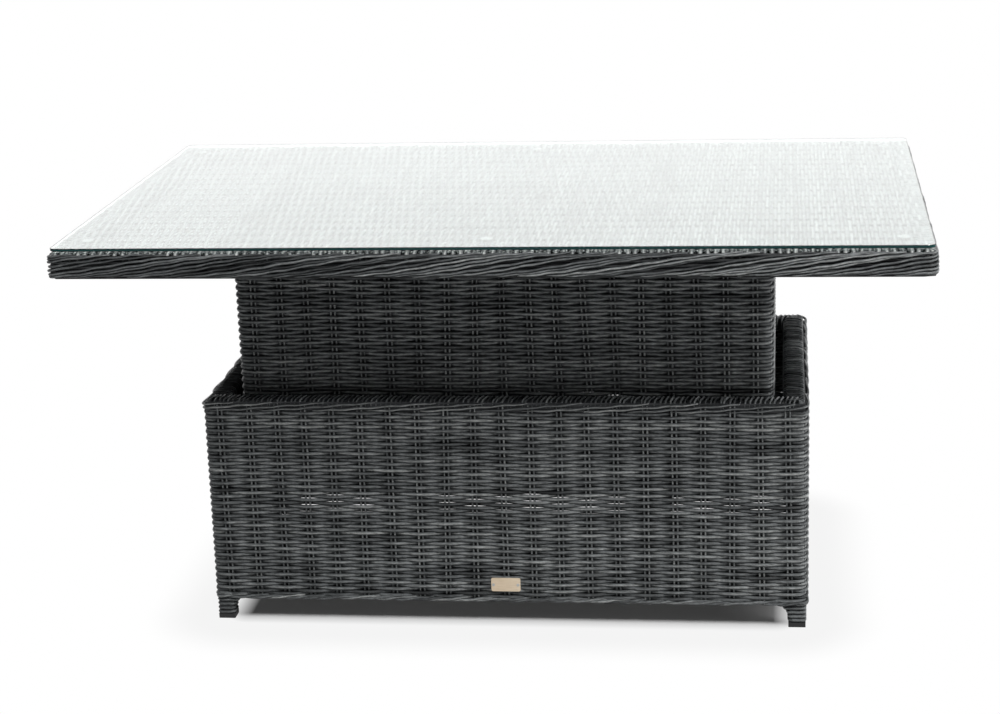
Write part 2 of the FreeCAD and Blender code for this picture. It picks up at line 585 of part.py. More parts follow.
# Skirt: a light frame under the top and the woven walls around it
def make_skirt():
    posts = [upright_tube(x, y, SKIRT_TUBE, SKIRT_LOWER, TOP_FRAME_LOWER)
             for corner, x, y in at_corners(SKIRT_POST_X, SKIRT_POST_Y)]
    nodes["skirt_posts"] = Part.makeCompound(posts)
    between_x = SKIRT_POST_X - SKIRT_TUBE / 2
    between_y = SKIRT_POST_Y - SKIRT_TUBE / 2
    rails = []
    for sign in (-1, 1):
        y = sign * SKIRT_POST_Y
        x = sign * SKIRT_POST_X
        for z in (SKIRT_LOWER, TOP_FRAME_LOWER - SKIRT_TUBE):
            rails.append(tube_along_x(y, SKIRT_TUBE, SKIRT_TUBE, -between_x, between_x, z))
            rails.append(tube_along_y(x, SKIRT_TUBE, SKIRT_TUBE, -between_y, between_y, z))
    nodes["skirt_rails"] = Part.makeCompound(rails)
    walls = woven_ring(SKIRT_LENGTH, SKIRT_DEPTH, SKIRT_LOWER, TOP_FRAME_LOWER)
    add_sides("skirt_weave", mitred_sides(walls, SKIRT_LENGTH, SKIRT_DEPTH, WEAVE))


# Release: a shaft with two fingers over the valve pins, its bush and the paddle
def shaft_bush_outside():
    """Outside diameter of the bush that carries the shaft in the right cross member."""
    return SHAFT_DIAMETER + 2 * FITTED_GAP + 2 * SHAFT_BUSH_WALL


def make_release():
    shaft = bar_along_x(SHAFT_Y, SHAFT_Z, SHAFT_DIAMETER, SHAFT_X_LEFT, SHAFT_X_RIGHT)
    for sign in SIDES.values():
        x = sign * COLUMN_X
        finger = block(x - FINGER_WIDTH / 2, x + FINGER_WIDTH / 2, -FINGER_PAST_PIN, SHAFT_Y,
                       FINGER_LOWER, FINGER_LOWER + FINGER_THICKNESS)
        shaft = shaft.fuse(finger)
    nodes["release_shaft"] = shaft

    bush_left = SKIRT_POST_X - SKIRT_TUBE / 2
    bush_right = SKIRT_POST_X + SKIRT_TUBE / 2
    bush = bar_along_x(SHAFT_Y, SHAFT_Z, shaft_bush_outside(), bush_left, bush_right)
    lip = bar_along_x(SHAFT_Y, SHAFT_Z, shaft_bush_outside() + 2 * SHAFT_BUSH_LIP,
                      bush_right, bush_right + SHAFT_BUSH_LIP)
    running_bore = bar_along_x(SHAFT_Y, SHAFT_Z, SHAFT_DIAMETER + 2 * FITTED_GAP,
                               bush_left, bush_right + SHAFT_BUSH_LIP)
    nodes["shaft_bush"] = bush.fuse(lip).cut(running_bore)

    x0 = SHAFT_X_RIGHT - PADDLE_WIDTH
    hub = bar_along_x(SHAFT_Y, SHAFT_Z, SHAFT_DIAMETER + 2 * PADDLE_HUB_WALL, x0, SHAFT_X_RIGHT)
    blade_upper = SHAFT_Z - PADDLE_DROP
    blade_lower = blade_upper - PADDLE_THICKNESS
    tip = SHAFT_Y + PADDLE_REACH
    blade = block(x0, SHAFT_X_RIGHT, SHAFT_Y, tip, blade_lower, blade_upper)
    lip = block(x0, SHAFT_X_RIGHT, tip - PADDLE_THICKNESS, tip, blade_lower - PADDLE_LIP, blade_lower)
    socket = bar_along_x(SHAFT_Y, SHAFT_Z, SHAFT_DIAMETER + 2 * FITTED_GAP, x0, SHAFT_X_RIGHT)
    nodes["release_paddle"] = hub.fuse(blade).fuse(lip).cut(socket)


def export_nodes():
    """Write each node and print its solids and volume."""
    os.makedirs("parts", exist_ok=True)
    for name, shape in nodes.items():
        shape.exportStep(f"parts/{name}.step")
        print(name, "valid" if shape.isValid() else "invalid", len(shape.Solids), round(shape.Volume))
    print(len(nodes), "nodes, lift travel", LIFT_TRAVEL, "shaft at y, z", SHAFT_Y, SHAFT_Z)


make_base_frame()
make_feet()
make_base_wicker()
make_name_plate()
make_columns()
make_fasteners()
make_top_frame()
make_top_wicker()
make_glass()
make_skirt()
make_release()
export_nodes()
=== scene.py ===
# %% [markdown]
# A coffee table whose top lifts to dining height. Two boxes of round plastic wicker slide one inside the
# other, and a glass plate lies on a woven top. The CAD model is loaded first as a fixed frame, in metres.
# Everything made below sits in that frame, so no piece is fitted by eye.

# %% Load the frame
import math
import bpy
import numpy as np
from mathutils import Matrix


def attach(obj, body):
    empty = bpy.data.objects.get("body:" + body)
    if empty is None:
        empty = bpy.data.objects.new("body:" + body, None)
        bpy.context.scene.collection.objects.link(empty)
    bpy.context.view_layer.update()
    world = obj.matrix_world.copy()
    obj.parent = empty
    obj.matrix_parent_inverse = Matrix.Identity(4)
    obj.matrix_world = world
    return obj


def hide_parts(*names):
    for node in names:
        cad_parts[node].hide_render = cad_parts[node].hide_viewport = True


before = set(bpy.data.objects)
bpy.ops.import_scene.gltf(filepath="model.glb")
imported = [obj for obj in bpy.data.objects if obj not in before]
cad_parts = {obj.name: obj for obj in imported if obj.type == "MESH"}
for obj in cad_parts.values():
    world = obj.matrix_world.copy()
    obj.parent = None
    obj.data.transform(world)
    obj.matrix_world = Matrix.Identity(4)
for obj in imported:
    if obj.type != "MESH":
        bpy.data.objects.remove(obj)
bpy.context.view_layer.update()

# %% [markdown]
# The camera comes next, because every later choice is judged through it. It was fitted to the corners of the
# glass, the rim, both boxes and the feet. The picture is a little turned about the line of sight, so the
# camera rolls too. A camera looks down its own -Z axis, so the columns of its matrix are the picture's right,
# its up, and the backward direction.

# %% Camera
MM = 0.001
PICTURE_WIDTH_PX = 1000
FOCAL_PX = 2245.0
SENSOR_MM = 36.0
EYE_MM = np.array([467.9, -3833.9, 1496.4])
# Angles in radians.
YAW, PITCH, ROLL = 0.1303, 0.2780, -0.0343
FARTHEST_SEEN = 200.0


def camera_axes(yaw, pitch, roll):
    """Right, up and backward unit vectors of a camera.

    It starts facing +Y, turns left by yaw, tilts down by pitch, and then rolls.
    """
    forward = np.array([-math.sin(yaw) * math.cos(pitch), math.cos(yaw) * math.cos(pitch), -math.sin(pitch)])
    level = np.array([math.cos(yaw), math.sin(yaw), 0.0])
    above = np.cross(level, forward)
    right = level * math.cos(roll) + above * math.sin(roll)
    up = above * math.cos(roll) - level * math.sin(roll)
    return right, up, -forward


def pose_matrix(axes, place):
    """The matrix of an object with these three axes at this place."""
    pose = np.eye(4)
    pose[:3, :3] = np.column_stack(axes)
    pose[:3, 3] = place
    return Matrix(pose.tolist())


scene = bpy.context.scene
camera_data = bpy.data.cameras.new("photo_camera")
camera_data.sensor_fit = "HORIZONTAL"
camera_data.sensor_width = SENSOR_MM
camera_data.lens = FOCAL_PX / PICTURE_WIDTH_PX * SENSOR_MM
camera_data.clip_end = FARTHEST_SEEN
camera = bpy.data.objects.new("photo_camera", camera_data)
scene.collection.objects.link(camera)
camera.matrix_world = pose_matrix(camera_axes(YAW, PITCH, ROLL), EYE_MM * MM)
scene.camera = camera
scene.view_settings.view_transform = "Standard"
print("camera lens", round(camera_data.lens, 2), "mm")

# %% [markdown]
# All the woven surfaces are round plastic strands, and each strand is one ellipse carried along a path. One
# function does that for many strands at once: it takes the points of every path and two directions across it,
# and works out all vertices as one array. A curve object with a bevel could make tubes too, but a numpy
# surface also carries the length along the strand as a UV map and a tone for each vertex, and the wicker
# material needs both. The tone is 0 for the darkest grey and 1 for the palest. It falls towards the two sides
# of a strand that touch its neighbours: painted shade in the grooves between strands, with some dust.

# %% Strands
SECTION_SIDES = 6
# Share of the tone taken off at the two sides of a strand: painted shade in the grooves, with some dust.
GROOVE_SHADE_AND_DUST = 0.95
TONE_LIMITS = (0.02, 0.98)
UP = (0.0, 0.0, 1.0)


def stacked(x, y, z):
    """Points or directions from their three coordinates."""
    return np.stack(np.broadcast_arrays(x, y, z), axis=-1)


def everywhere(direction, centre):
    """One direction repeated for every point of centre."""
    return np.broadcast_to(np.array(direction), centre.shape)


def strand_tones(rng, count, mean, spread, limits=TONE_LIMITS):
    """One tone for each strand, scattered about a mean."""
    return np.clip(rng.normal(mean, spread, (count, 1)), *limits)


def strand_patch(centre, across, upward, half_across, half_upward, tone, closed, sides=SECTION_SIDES):
    """Carries an ellipse along many paths.

    centre is an array of strands by points by xyz. A vertex is centre + across * half_across * cos(a)
    + upward * half_upward * sin(a), with a going once round the section from its inner side, so the seam is
    hidden. The faces look outward when across x upward points back along the path. A closed path joins its
    last point to its first; an open one gets a pole at each end. tone is given for each strand or for each of
    its points, and a vertex has that tone * (1 - GROOVE_SHADE_AND_DUST * sin(a) ** 2), which paints shade and
    some dust into the grooves at the two sides. Returns vertices, quads, end triangles, a UV for each face
    corner (metres along, strand number plus turns round) and the tones.
    """
    strands, points = centre.shape[:2]
    angle = math.pi + 2 * math.pi * np.arange(sides) / sides
    wide = np.broadcast_to(half_across, (strands, points))[..., None, None] * np.cos(angle)[:, None]
    tall = np.broadcast_to(half_upward, (strands, points))[..., None, None] * np.sin(angle)[:, None]
    body = centre[:, :, None, :] + across[:, :, None, :] * wide + upward[:, :, None, :] * tall
    steps = points if closed else points - 1
    first = np.arange(strands)[:, None, None] * points * sides
    here = np.arange(steps)[None, :, None] * sides
    after = (np.arange(1, steps + 1) % points)[None, :, None] * sides
    side = np.arange(sides)[None, None, :]
    beside = (side + 1) % sides
    quads = np.stack([first + here + side, first + after + side,
                      first + after + beside, first + here + beside], axis=-1).reshape(-1, 4)
    hop = np.linalg.norm(np.roll(centre, -1, axis=1) - centre, axis=2)[:, :steps]
    reach = np.concatenate([np.zeros((strands, 1)), np.cumsum(hop, axis=1)], axis=1)
    turn = np.arange(sides + 1) / sides
    u = np.stack([reach[:, :-1], reach[:, 1:], reach[:, 1:], reach[:, :-1]], axis=-1)
    v = np.stack([turn[:-1], turn[:-1], turn[1:], turn[1:]], axis=-1)
    v = v[None, None, :, :] + np.arange(strands)[:, None, None, None]
    corner_uv = np.stack(np.broadcast_arrays(u[:, :, None, :], v), axis=-1).reshape(-1, 4, 2)
    vertices = body.reshape(-1, 3)
    point_tones = np.broadcast_to(tone, (strands, points))
    # Painted shade and dust in the grooves: a vertex keeps less of its tone towards the sides of the strand.
    left_by_groove_shade = 1 - GROOVE_SHADE_AND_DUST * np.sin(angle) ** 2
    tones = (point_tones[..., None] * left_by_groove_shade).ravel()
    if closed:
        return vertices, quads, np.zeros((0, 3), int), corner_uv, np.zeros((0, 3, 2)), tones
    poles = np.concatenate([centre[:, 0], centre[:, -1]])
    pole_at = len(vertices) + np.arange(2 * strands).reshape(2, strands, 1)
    ring = np.arange(strands)[:, None] * points * sides + np.arange(sides)
    ring_after = np.roll(ring, -1, axis=1)
    last = (points - 1) * sides
    start_fan = np.stack(np.broadcast_arrays(pole_at[0], ring, ring_after), axis=-1)
    end_fan = np.stack(np.broadcast_arrays(pole_at[1], ring_after + last, ring + last), axis=-1)
    triangles = np.concatenate([start_fan.reshape(-1, 3), end_fan.reshape(-1, 3)])
    vertices = np.concatenate([vertices, poles])
    tones = np.concatenate([tones, point_tones[:, 0], point_tones[:, -1]])
    return vertices, quads, triangles, corner_uv, np.zeros((len(triangles), 3, 2)), tones


def new_piece(name, patch, material, body, replaced=()):
    """Puts a patch into a smooth-shaded mesh at the origin, and says what it rides on and stands for."""
    vertices, quads, triangles, quad_uv, triangle_uv, tones = patch
    mesh = bpy.data.meshes.new(name)
    mesh.vertices.add(len(vertices))
    mesh.vertices.foreach_set("co", vertices.astype(np.float32).ravel())
    corners = np.concatenate([quads.ravel(), triangles.ravel()]).astype(np.int32)
    mesh.loops.add(len(corners))
    mesh.loops.foreach_set("vertex_index", corners)
    starts = np.concatenate([4 * np.arange(len(quads)), 4 * len(quads) + 3 * np.arange(len(triangles))])
    mesh.polygons.add(len(starts))
    mesh.polygons.foreach_set("loop_start", starts.astype(np.int32))
    mesh.update(calc_edges=True)
    uv = np.concatenate([quad_uv.ravel(), triangle_uv.ravel()]).astype(np.float32)
    mesh.uv_layers.new(name="strand").data.foreach_set("uv", uv)
    mesh.attributes.new("tone", "FLOAT", "POINT").data.foreach_set("value", tones.astype(np.float32))
    mesh.shade_smooth()
    mesh.materials.append(material)
    piece = bpy.data.objects.new(name, mesh)
    scene.collection.objects.link(piece)
    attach(piece, body)
    if replaced:
        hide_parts(*replaced)
    print(name, 2 * len(quads) + len(triangles), "triangles")


# %% [markdown]
# Materials are node trees. One helper adds a node with its settings, its values and its links, and a few
# short ones use it for steps that come back in every tree. Colours are written as sRGB hex codes, the way a
# colour picker shows them, and one function turns them to the linear values that Blender mixes light with.

# %% Node and colour helpers
# Places of the colour sockets of a Mix node.
MIX_A, MIX_B, MIX_RESULT = 6, 7, 2


def linear(code):
    """An sRGB hex colour as linear red, green, blue and alpha, by the sRGB curve."""
    shares = np.array([int(code[at:at + 2], 16) for at in (1, 3, 5)]) / 255
    light = np.where(shares <= 0.04045, shares / 12.92, ((shares + 0.055) / 1.055) ** 2.4)
    return (*light.tolist(), 1.0)


def add_node(tree, kind, inputs=None, **settings):
    """Adds one shader node. An input given as a socket is linked, and any other input is set as a value."""
    made = tree.nodes.new("ShaderNode" + kind)
    for name, value in settings.items():
        setattr(made, name, value)
    for name, value in (inputs or {}).items():
        if isinstance(value, bpy.types.NodeSocket):
            tree.links.new(value, made.inputs[name])
        else:
            made.inputs[name].default_value = value
    return made


def calculate(tree, operation, first, second):
    """The result of one step of arithmetic."""
    return add_node(tree, "Math", {0: first, 1: second}, operation=operation).outputs[0]


def remap(tree, value, source, target, **settings):
    """A value carried from the source range to the target range, and held within it."""
    ranges = {"From Min": source[0], "From Max": source[1], "To Min": target[0], "To Max": target[1]}
    return add_node(tree, "MapRange", {"Value": value, **ranges}, **settings).outputs[0]


def mix_colours(tree, share, first, second, blend="MIX"):
    """The first colour at share 0, the second or its product with the first at share 1."""
    inputs = {0: share, MIX_A: first, MIX_B: second}
    return add_node(tree, "Mix", inputs, data_type="RGBA", blend_type=blend).outputs[MIX_RESULT]


def noise(tree, place, scale, **inputs):
    """Smooth noise with so many waves along each axis for one unit of place."""
    scaled = add_node(tree, "Mapping", {"Vector": place, "Scale": scale})
    return add_node(tree, "TexNoise", {"Vector": scaled.outputs[0], "Scale": 1.0, **inputs}).outputs["Fac"]


def distance_outside(tree, half_x, half_y):
    """Level distance from a rectangle about the origin: the length of max(|place| - half, 0)."""
    place = add_node(tree, "TexCoord").outputs["Object"]
    value = add_node(tree, "VectorMath", {0: place}, operation="ABSOLUTE").outputs[0]
    steps = {"MULTIPLY": (1.0, 1.0, 0.0), "SUBTRACT": (half_x, half_y, 0.0), "MAXIMUM": (0.0, 0.0, 0.0)}
    for operation, other in steps.items():
        value = add_node(tree, "VectorMath", {0: value, 1: other}, operation=operation).outputs[0]
    return add_node(tree, "VectorMath", {0: value}, operation="LENGTH").outputs["Value"]


def new_material(name):
    """An empty node material and its tree."""
    material = bpy.data.materials.new(name)
    material.use_nodes = True
    material.node_tree.nodes.clear()
    return material, material.node_tree


# %% [markdown]
# The wicker is polyethylene strand, extruded through a round die with several greys of granulate, so no two
# strands have the same grey and each one carries fine streaks along its length. It is matt for a plastic, so
# its gloss is weak and broad. The tone attribute picks the grey, long noise shifts it along the strand, and
# noise stretched along the UV draws streaks that change colour and gloss together and form fine grooves.

# %% Wicker material
# The first grey is the colour of the darkest strands and also the near black of painted shade, where a tone
# goes to 0.
WICKER_DARK_AND_SHADE, WICKER_MID, WICKER_PALE = "#07080a", "#696c6d", "#acaeac"
WICKER_ROUGHNESS = (0.25, 0.45)
WICKER_SPECULAR = 0.12
POLYETHYLENE_IOR = 1.51
STREAK_LENGTH_MM = 14.0
STREAKS_ROUND = 4.0
STREAK_LIGHT = (0.4, 1.75)
STREAK_NOISE = (0.32, 0.68)
STREAK_GROOVE = 0.5 * MM
PATCH_LENGTH_MM = 170.0
PATCHES_ROUND = 0.4
PATCH_SHIFT = 0.2
# Noise stays between these for most of its area.
USUAL_NOISE = (0.3, 0.7)


def make_wicker():
    """Polyethylene strand: mixed anthracite greys, streaks and grooves along the strand, weak gloss."""
    material, tree = new_material("extruded_polyethylene_wicker")
    uv = add_node(tree, "UVMap", uv_map="strand").outputs[0]
    tone = add_node(tree, "Attribute", attribute_name="tone").outputs["Fac"]
    streak = noise(tree, uv, (1000 / STREAK_LENGTH_MM, STREAKS_ROUND, 1.0), Detail=5.0, Roughness=0.7)
    patch = noise(tree, uv, (1000 / PATCH_LENGTH_MM, PATCHES_ROUND, 1.0), Detail=2.0)
    grey = calculate(tree, "ADD", tone, remap(tree, patch, USUAL_NOISE, (-PATCH_SHIFT, PATCH_SHIFT)))
    dark_to_mid = remap(tree, grey, (0.0, 0.5), (0.0, 1.0))
    mid_to_pale = remap(tree, grey, (0.5, 1.0), (0.0, 1.0))
    darker_half = mix_colours(tree, dark_to_mid, linear(WICKER_DARK_AND_SHADE), linear(WICKER_MID))
    plain = mix_colours(tree, mid_to_pale, darker_half, linear(WICKER_PALE))
    streak_light = remap(tree, streak, STREAK_NOISE, STREAK_LIGHT)
    colour = mix_colours(tree, 1.0, plain, streak_light, blend="MULTIPLY")
    gloss = remap(tree, streak, USUAL_NOISE, WICKER_ROUGHNESS)
    grooves = add_node(tree, "Bump", {"Height": streak, "Strength": 0.5, "Distance": STREAK_GROOVE})
    shader = add_node(tree, "BsdfPrincipled", {
        "Base Color": colour, "Roughness": gloss, "IOR": POLYETHYLENE_IOR,
        "Specular IOR Level": WICKER_SPECULAR, "Normal": grooves.outputs[0]})
    add_node(tree, "OutputMaterial", {"Surface": shader.outputs[0]})
    return material


wicker = make_wicker()
print("made", wicker.name)


def woven(name, patch, body, replaced=()):
    """Adds a new piece of wicker."""
    new_piece(name, patch, wicker, body, replaced)


# %% [markdown]
# Every wall, rim and border follows the same plan: a rectangle with rounded corners. This function walks
# round it. Given distances along the loop it returns the points and the outward direction, all as arrays, so
# a strand that runs round a corner needs no special case.

# %% Walking round a box
def loop_length(half_x, half_y, radius):
    """The way round: four straight sides and one full circle of the corner radius."""
    return 4 * (half_x + half_y - 2 * radius) + 2 * math.pi * radius


def around_box(s, half_x, half_y, radius):
    """Walks a rounded rectangle counter-clockwise from the left end of its front side.

    A distance s falls on one of eight stretches, a straight and a corner in turn. The outward direction
    starts at -Y, turns by a quarter for each side passed, and by distance over radius within a corner. The
    point is the corner's centre plus the radius times that direction, less what is left of the straight.
    """
    side_x = 2 * (half_x - radius)
    side_y = 2 * (half_y - radius)
    bend = math.pi / 2 * radius
    lengths = np.array([side_x, bend, side_y, bend] * 2)
    ends = np.cumsum(lengths)
    s = np.mod(s, ends[-1])
    part = np.minimum(np.searchsorted(ends, s, side="right"), len(ends) - 1)
    along = s - (ends - lengths)[part]
    quarter = part // 2
    straight = part % 2 == 0
    heading = quarter * math.pi / 2
    angle = heading - math.pi / 2 + np.where(straight, 0.0, along / radius)
    nx = np.cos(angle)
    ny = np.sin(angle)
    left = np.where(straight, lengths[part] - along, 0.0)
    x = (half_x - radius) * np.array([1, 1, -1, -1])[quarter] + radius * nx - left * np.cos(heading)
    y = (half_y - radius) * np.array([-1, 1, 1, -1])[quarter] + radius * ny - left * np.sin(heading)
    return x, y, nx, ny


def four_sides(name):
    """The names of the four CAD nodes that go round a box."""
    return [f"{name}_{side}" for side in ("front", "right", "rear", "left")]


# %% [markdown]
# The walls are plain weave. Upright stakes stand in pairs about 48 mm apart. Hand work is never even, so each
# pair drifts and leans a little, from a seeded generator, and neighbours share some of it.

# %% Stakes of a wall
WALL_CORNER = 13.5 * MM
WALL_MIDDLE = 4.6 * MM
STAKE_RADIUS = 2.1 * MM
STAKE_HALF_GAP = 3.6 * MM
STAKE_DRIFT = 3.0 * MM
STAKE_LEAN = 6.0 * MM
STAKE_POINTS = 7


def shared_out(values):
    """Half of each value and a quarter of each of its neighbours."""
    return 0.5 * values + 0.25 * (np.roll(values, 1) + np.roll(values, -1))


def wall_plan(outer_x, outer_y, stakes_x, stakes_y, rng):
    """Where the stakes of a wall stand, as distances along the middle of the wall.

    Each side has its own even spacing between the middles of its two corners. Each stake then gets a seeded
    drift and lean.
    """
    half_x = outer_x / 2 - WALL_MIDDLE
    half_y = outer_y / 2 - WALL_MIDDLE
    half_bend = math.pi / 4 * WALL_CORNER
    side_x = 2 * (half_x - WALL_CORNER) + 2 * half_bend
    side_y = 2 * (half_y - WALL_CORNER) + 2 * half_bend
    front = (np.arange(stakes_x) + 0.5) / stakes_x * side_x - half_bend
    right = (np.arange(stakes_y) + 0.5) / stakes_y * side_y + side_x - half_bend
    places = np.concatenate([front, right, front + side_x + side_y, right + side_x + side_y])
    drift = shared_out(rng.normal(0, STAKE_DRIFT, len(places)))
    lean = shared_out(rng.normal(0, STAKE_LEAN, len(places)))
    corners = np.cumsum([stakes_x, stakes_y] * 2) - 1
    return {"half_x": half_x, "half_y": half_y, "places": places + drift, "lean": lean, "corners": corners}


def stake_shift(plan, stake, share):
    """Distance along the wall at a stake number, whole or between two, at a share of the wall's height."""
    count = len(plan["places"])
    way_round = loop_length(plan["half_x"], plan["half_y"], WALL_CORNER)
    numbers = np.arange(-1, count + 2)
    places = plan["places"][numbers % count] + numbers // count * way_round
    leans = plan["lean"][numbers % count]
    return np.interp(stake, numbers, places) + np.interp(stake, numbers, leans) * (share - 0.5)


def stake_patch(plan, low, high, rng):
    """Pairs of upright rods at the stakes: each follows its stake's drift and lean from low to high."""
    count = len(plan["places"])
    share = np.linspace(0, 1, STAKE_POINTS)
    number = np.repeat(np.arange(count), 2)[:, None]
    beside = np.tile([-STAKE_HALF_GAP, STAKE_HALF_GAP], count)[:, None]
    s = stake_shift(plan, number, share[None, :]) + beside
    x, y, nx, ny = around_box(s, plan["half_x"], plan["half_y"], WALL_CORNER)
    centre = stacked(x, y, low + (high - low) * share[None, :])
    outward = stacked(nx, ny, 0.0)
    sideways = stacked(ny, -nx, 0.0)
    tone = strand_tones(rng, 2 * count, mean=0.74, spread=0.1, limits=(0.4, 1.0))
    return strand_patch(centre, outward, sideways, STAKE_RADIUS, STAKE_RADIUS, tone, closed=False)


# %% [markdown]
# Each strand of a wall goes in front of one stake and behind the next, while the strand above does the
# opposite. So its distance from the middle of the wall is a cosine along the wall that changes sign from row
# to row. A bump texture could suggest this, but the wall is open: light and the far side show through beside
# each stake, so the strands are real. The rows ripple a little, and where a strand is deepest behind a stake
# its grey is taken out to near black as painted shade.

# %% Rows of a wall
STRAND_HALF_THICK = 2.3 * MM
SWING = 2.5 * MM
STEPS_PER_STAKE = 8
CORNER_STEPS = 16
# Half the height of a strand over the pitch of the rows, in front of a stake and between two stakes.
FRONT_OVER_PITCH = 0.53
MIDWAY_OVER_PITCH = 0.58
# How far behind the middle, as a share of the swing, a strand starts to change to its height behind a stake.
DEEP_PHASE = 0.3
# Painted shade behind a stake: where the grey of a strand is gone, and over which part of the swing it comes
# back.
PAINTED_SHADE_PHASE = -0.98
PAINTED_SHADE_FADE = 0.2
RIPPLE = 0.5 * MM
RIPPLE_WAVES = (7, 11, 17)
RIPPLE_WANDER = 0.12
ROW_UNEVEN = 0.12 * MM


def left_by_painted_shade(phase):
    """Share of a strand's grey left by painted shade: none where it is deepest behind a stake, all of it
    elsewhere.
    """
    return np.clip((phase - PAINTED_SHADE_PHASE) / PAINTED_SHADE_FADE, 0, 1)


def wall_rows(plan, low, high, pitch, behind_by_height, rng):
    """Strands of a wall: distance from its middle is SWING * cos(pi * (stake number + row number)).

    Half the height of a strand is a share of the pitch. The share goes from MIDWAY_OVER_PITCH between two
    stakes to FRONT_OVER_PITCH in front of one, and behind one to the value listed for the row's height in mm.
    """
    count = len(plan["places"])
    rows = int(round((high - low) / pitch))
    finer = set(plan["corners"].tolist())
    steps = [CORNER_STEPS if number in finer else STEPS_PER_STAKE for number in range(count)]
    stake = np.concatenate([number + np.arange(k) / k for number, k in enumerate(steps)])[None, :]
    row = np.arange(rows)[:, None]
    s = stake_shift(plan, stake, (row + 0.5) / rows)
    phase = np.cos(math.pi * (stake + row))
    x, y, nx, ny = around_box(s, plan["half_x"], plan["half_y"], WALL_CORNER)
    out = SWING * phase
    turns = 2 * math.pi * stake / count
    ripple = 0.0
    for waves in RIPPLE_WAVES:
        start = rng.uniform(0, 2 * math.pi)
        wander = np.cumsum(rng.normal(0, RIPPLE_WANDER, rows))[:, None]
        ripple = ripple + np.sin(waves * turns + start + wander)
    level = low + (row + 0.5) * pitch
    z = level + RIPPLE * ripple + rng.normal(0, ROW_UNEVEN, (rows, 1))
    centre = stacked(x + nx * out, y + ny * out, z)
    heights_mm, ratios = np.array(behind_by_height).T
    behind = np.interp(level, heights_mm * MM, ratios)
    front = np.clip(phase, 0, 1) ** 2
    deep = np.clip((-phase - DEEP_PHASE) / (1 - DEEP_PHASE), 0, 1)
    tall = pitch * (MIDWAY_OVER_PITCH + (FRONT_OVER_PITCH - MIDWAY_OVER_PITCH) * front
                    + (behind - MIDWAY_OVER_PITCH) * deep)
    # The last part returned is the share of grey left by the painted shade behind the stakes.
    return centre, stacked(nx, ny, 0.0), tall, left_by_painted_shade(phase)


def wall_patch(rows_of_wall, chosen, rng):
    """The patch of some rows of a wall; each strand gets its own grey."""
    centre, outward, tall, share = (part[chosen] for part in rows_of_wall)
    # Painted shade: the tone goes to near black where the strand is deepest behind a stake.
    tone = strand_tones(rng, len(centre), mean=0.62, spread=0.14) * share
    return strand_patch(centre, outward, everywhere(UP, centre), STRAND_HALF_THICK, tall, tone, closed=True)


def weave_bands(name, bands, rows_of_wall, body, rng):
    """Weaves a wall as one piece for each band of whole rows."""
    for band, numbers in zip(bands, np.array_split(np.arange(len(rows_of_wall[0])), len(bands))):
        woven(f"{name}_{band}", wall_patch(rows_of_wall, numbers, rng), body, four_sides(name))


# %% [markdown]
# The upper part of a wall, its bottom edge and the rim of the table are waled: a strand comes out from behind
# a stake low down, climbs slowly to the right across several stakes, and goes in again at the top. Side by
# side these strokes look like a flat rope. A stroke is a climb along the loop whose two ends dive into the
# wall.

# %% Waled bands
STROKE_POINTS = 64
START_UNEVEN = 0.15
REACH_UNEVEN = 0.08
DEPTH_UNEVEN = 1.2 * MM
HEIGHT_UNEVEN = 0.36 * MM
SWELL_LENGTH = 50 * MM
SWELL_OUT = 0.6 * MM
SWELL_UP = 0.48 * MM
DIVE_POWER = 10
END_TAPER = 0.4
TAPER_POWER = 6
WALE_TONE = 0.84
WALE_TONE_SPREAD = 0.17


def wale_patch(outline, band, strokes, reach, section, dive, rng, ease=0.3, tone_mean=WALE_TONE):
    """Strokes of a wale, one ellipse each along u from 0 to 1.

    outline is the outer length, width and corner, band the lower and upper edge, section half the thickness
    and height of a strand, dive how deep the start and the end go in. Height climbs with
    u - ease * sin(2 pi u) / (2 pi), so a stroke lies flatter near both edges of the band. Depth behind the
    outer face is dive[0] * (1 - u) ** DIVE_POWER + dive[1] * u ** DIVE_POWER, so only the ends go in. Each
    stroke lies a little deeper or higher than the next and waves as it climbs.
    """
    outer_x, outer_y, corner = outline
    low, high = band
    half_out, half_tall = section
    half_x = outer_x / 2 - half_out
    half_y = outer_y / 2 - half_out
    radius = corner - half_out
    spacing = loop_length(half_x, half_y, radius) / strokes
    u = np.linspace(0, 1, STROKE_POINTS)[None, :]
    one_each = (strokes, 1)
    start = (np.arange(strokes)[:, None] + rng.uniform(-START_UNEVEN, START_UNEVEN, one_each)) * spacing
    s = start + reach * (1 + rng.uniform(-REACH_UNEVEN, REACH_UNEVEN, one_each)) * u
    x, y, nx, ny = around_box(s, half_x, half_y, radius)
    swell = np.sin(2 * math.pi * s / SWELL_LENGTH + rng.uniform(0, 2 * math.pi, one_each))
    ends = dive[0] * (1 - u) ** DIVE_POWER + dive[1] * u ** DIVE_POWER
    depth = ends + rng.uniform(0, DEPTH_UNEVEN, one_each) + SWELL_OUT * (1 + swell)
    climb = u - ease * np.sin(2 * math.pi * u) / (2 * math.pi)
    z = low + half_tall + (high - low - 2 * half_tall) * climb
    z = z + SWELL_UP * swell + rng.normal(0, HEIGHT_UNEVEN, one_each)
    centre = stacked(x - nx * depth, y - ny * depth, z)
    tall = half_tall * (1 - END_TAPER * np.abs(2 * u - 1) ** TAPER_POWER)
    outward = stacked(nx, ny, 0.0)
    tone = strand_tones(rng, strokes, tone_mean, WALE_TONE_SPREAD)
    return strand_patch(centre, outward, everywhere(UP, centre), half_out, tall, tone, closed=False)


def grown(outline, proud):
    """An outline moved out by proud on every side, with the same corner."""
    outer_x, outer_y, corner = outline
    return outer_x + 2 * proud, outer_y + 2 * proud, corner


# %% [markdown]
# The rims are wrapped: short strands lie side by side across the rail and go round its edges. All repeat the
# same few points across the rim, and only place, height and slant differ a little.

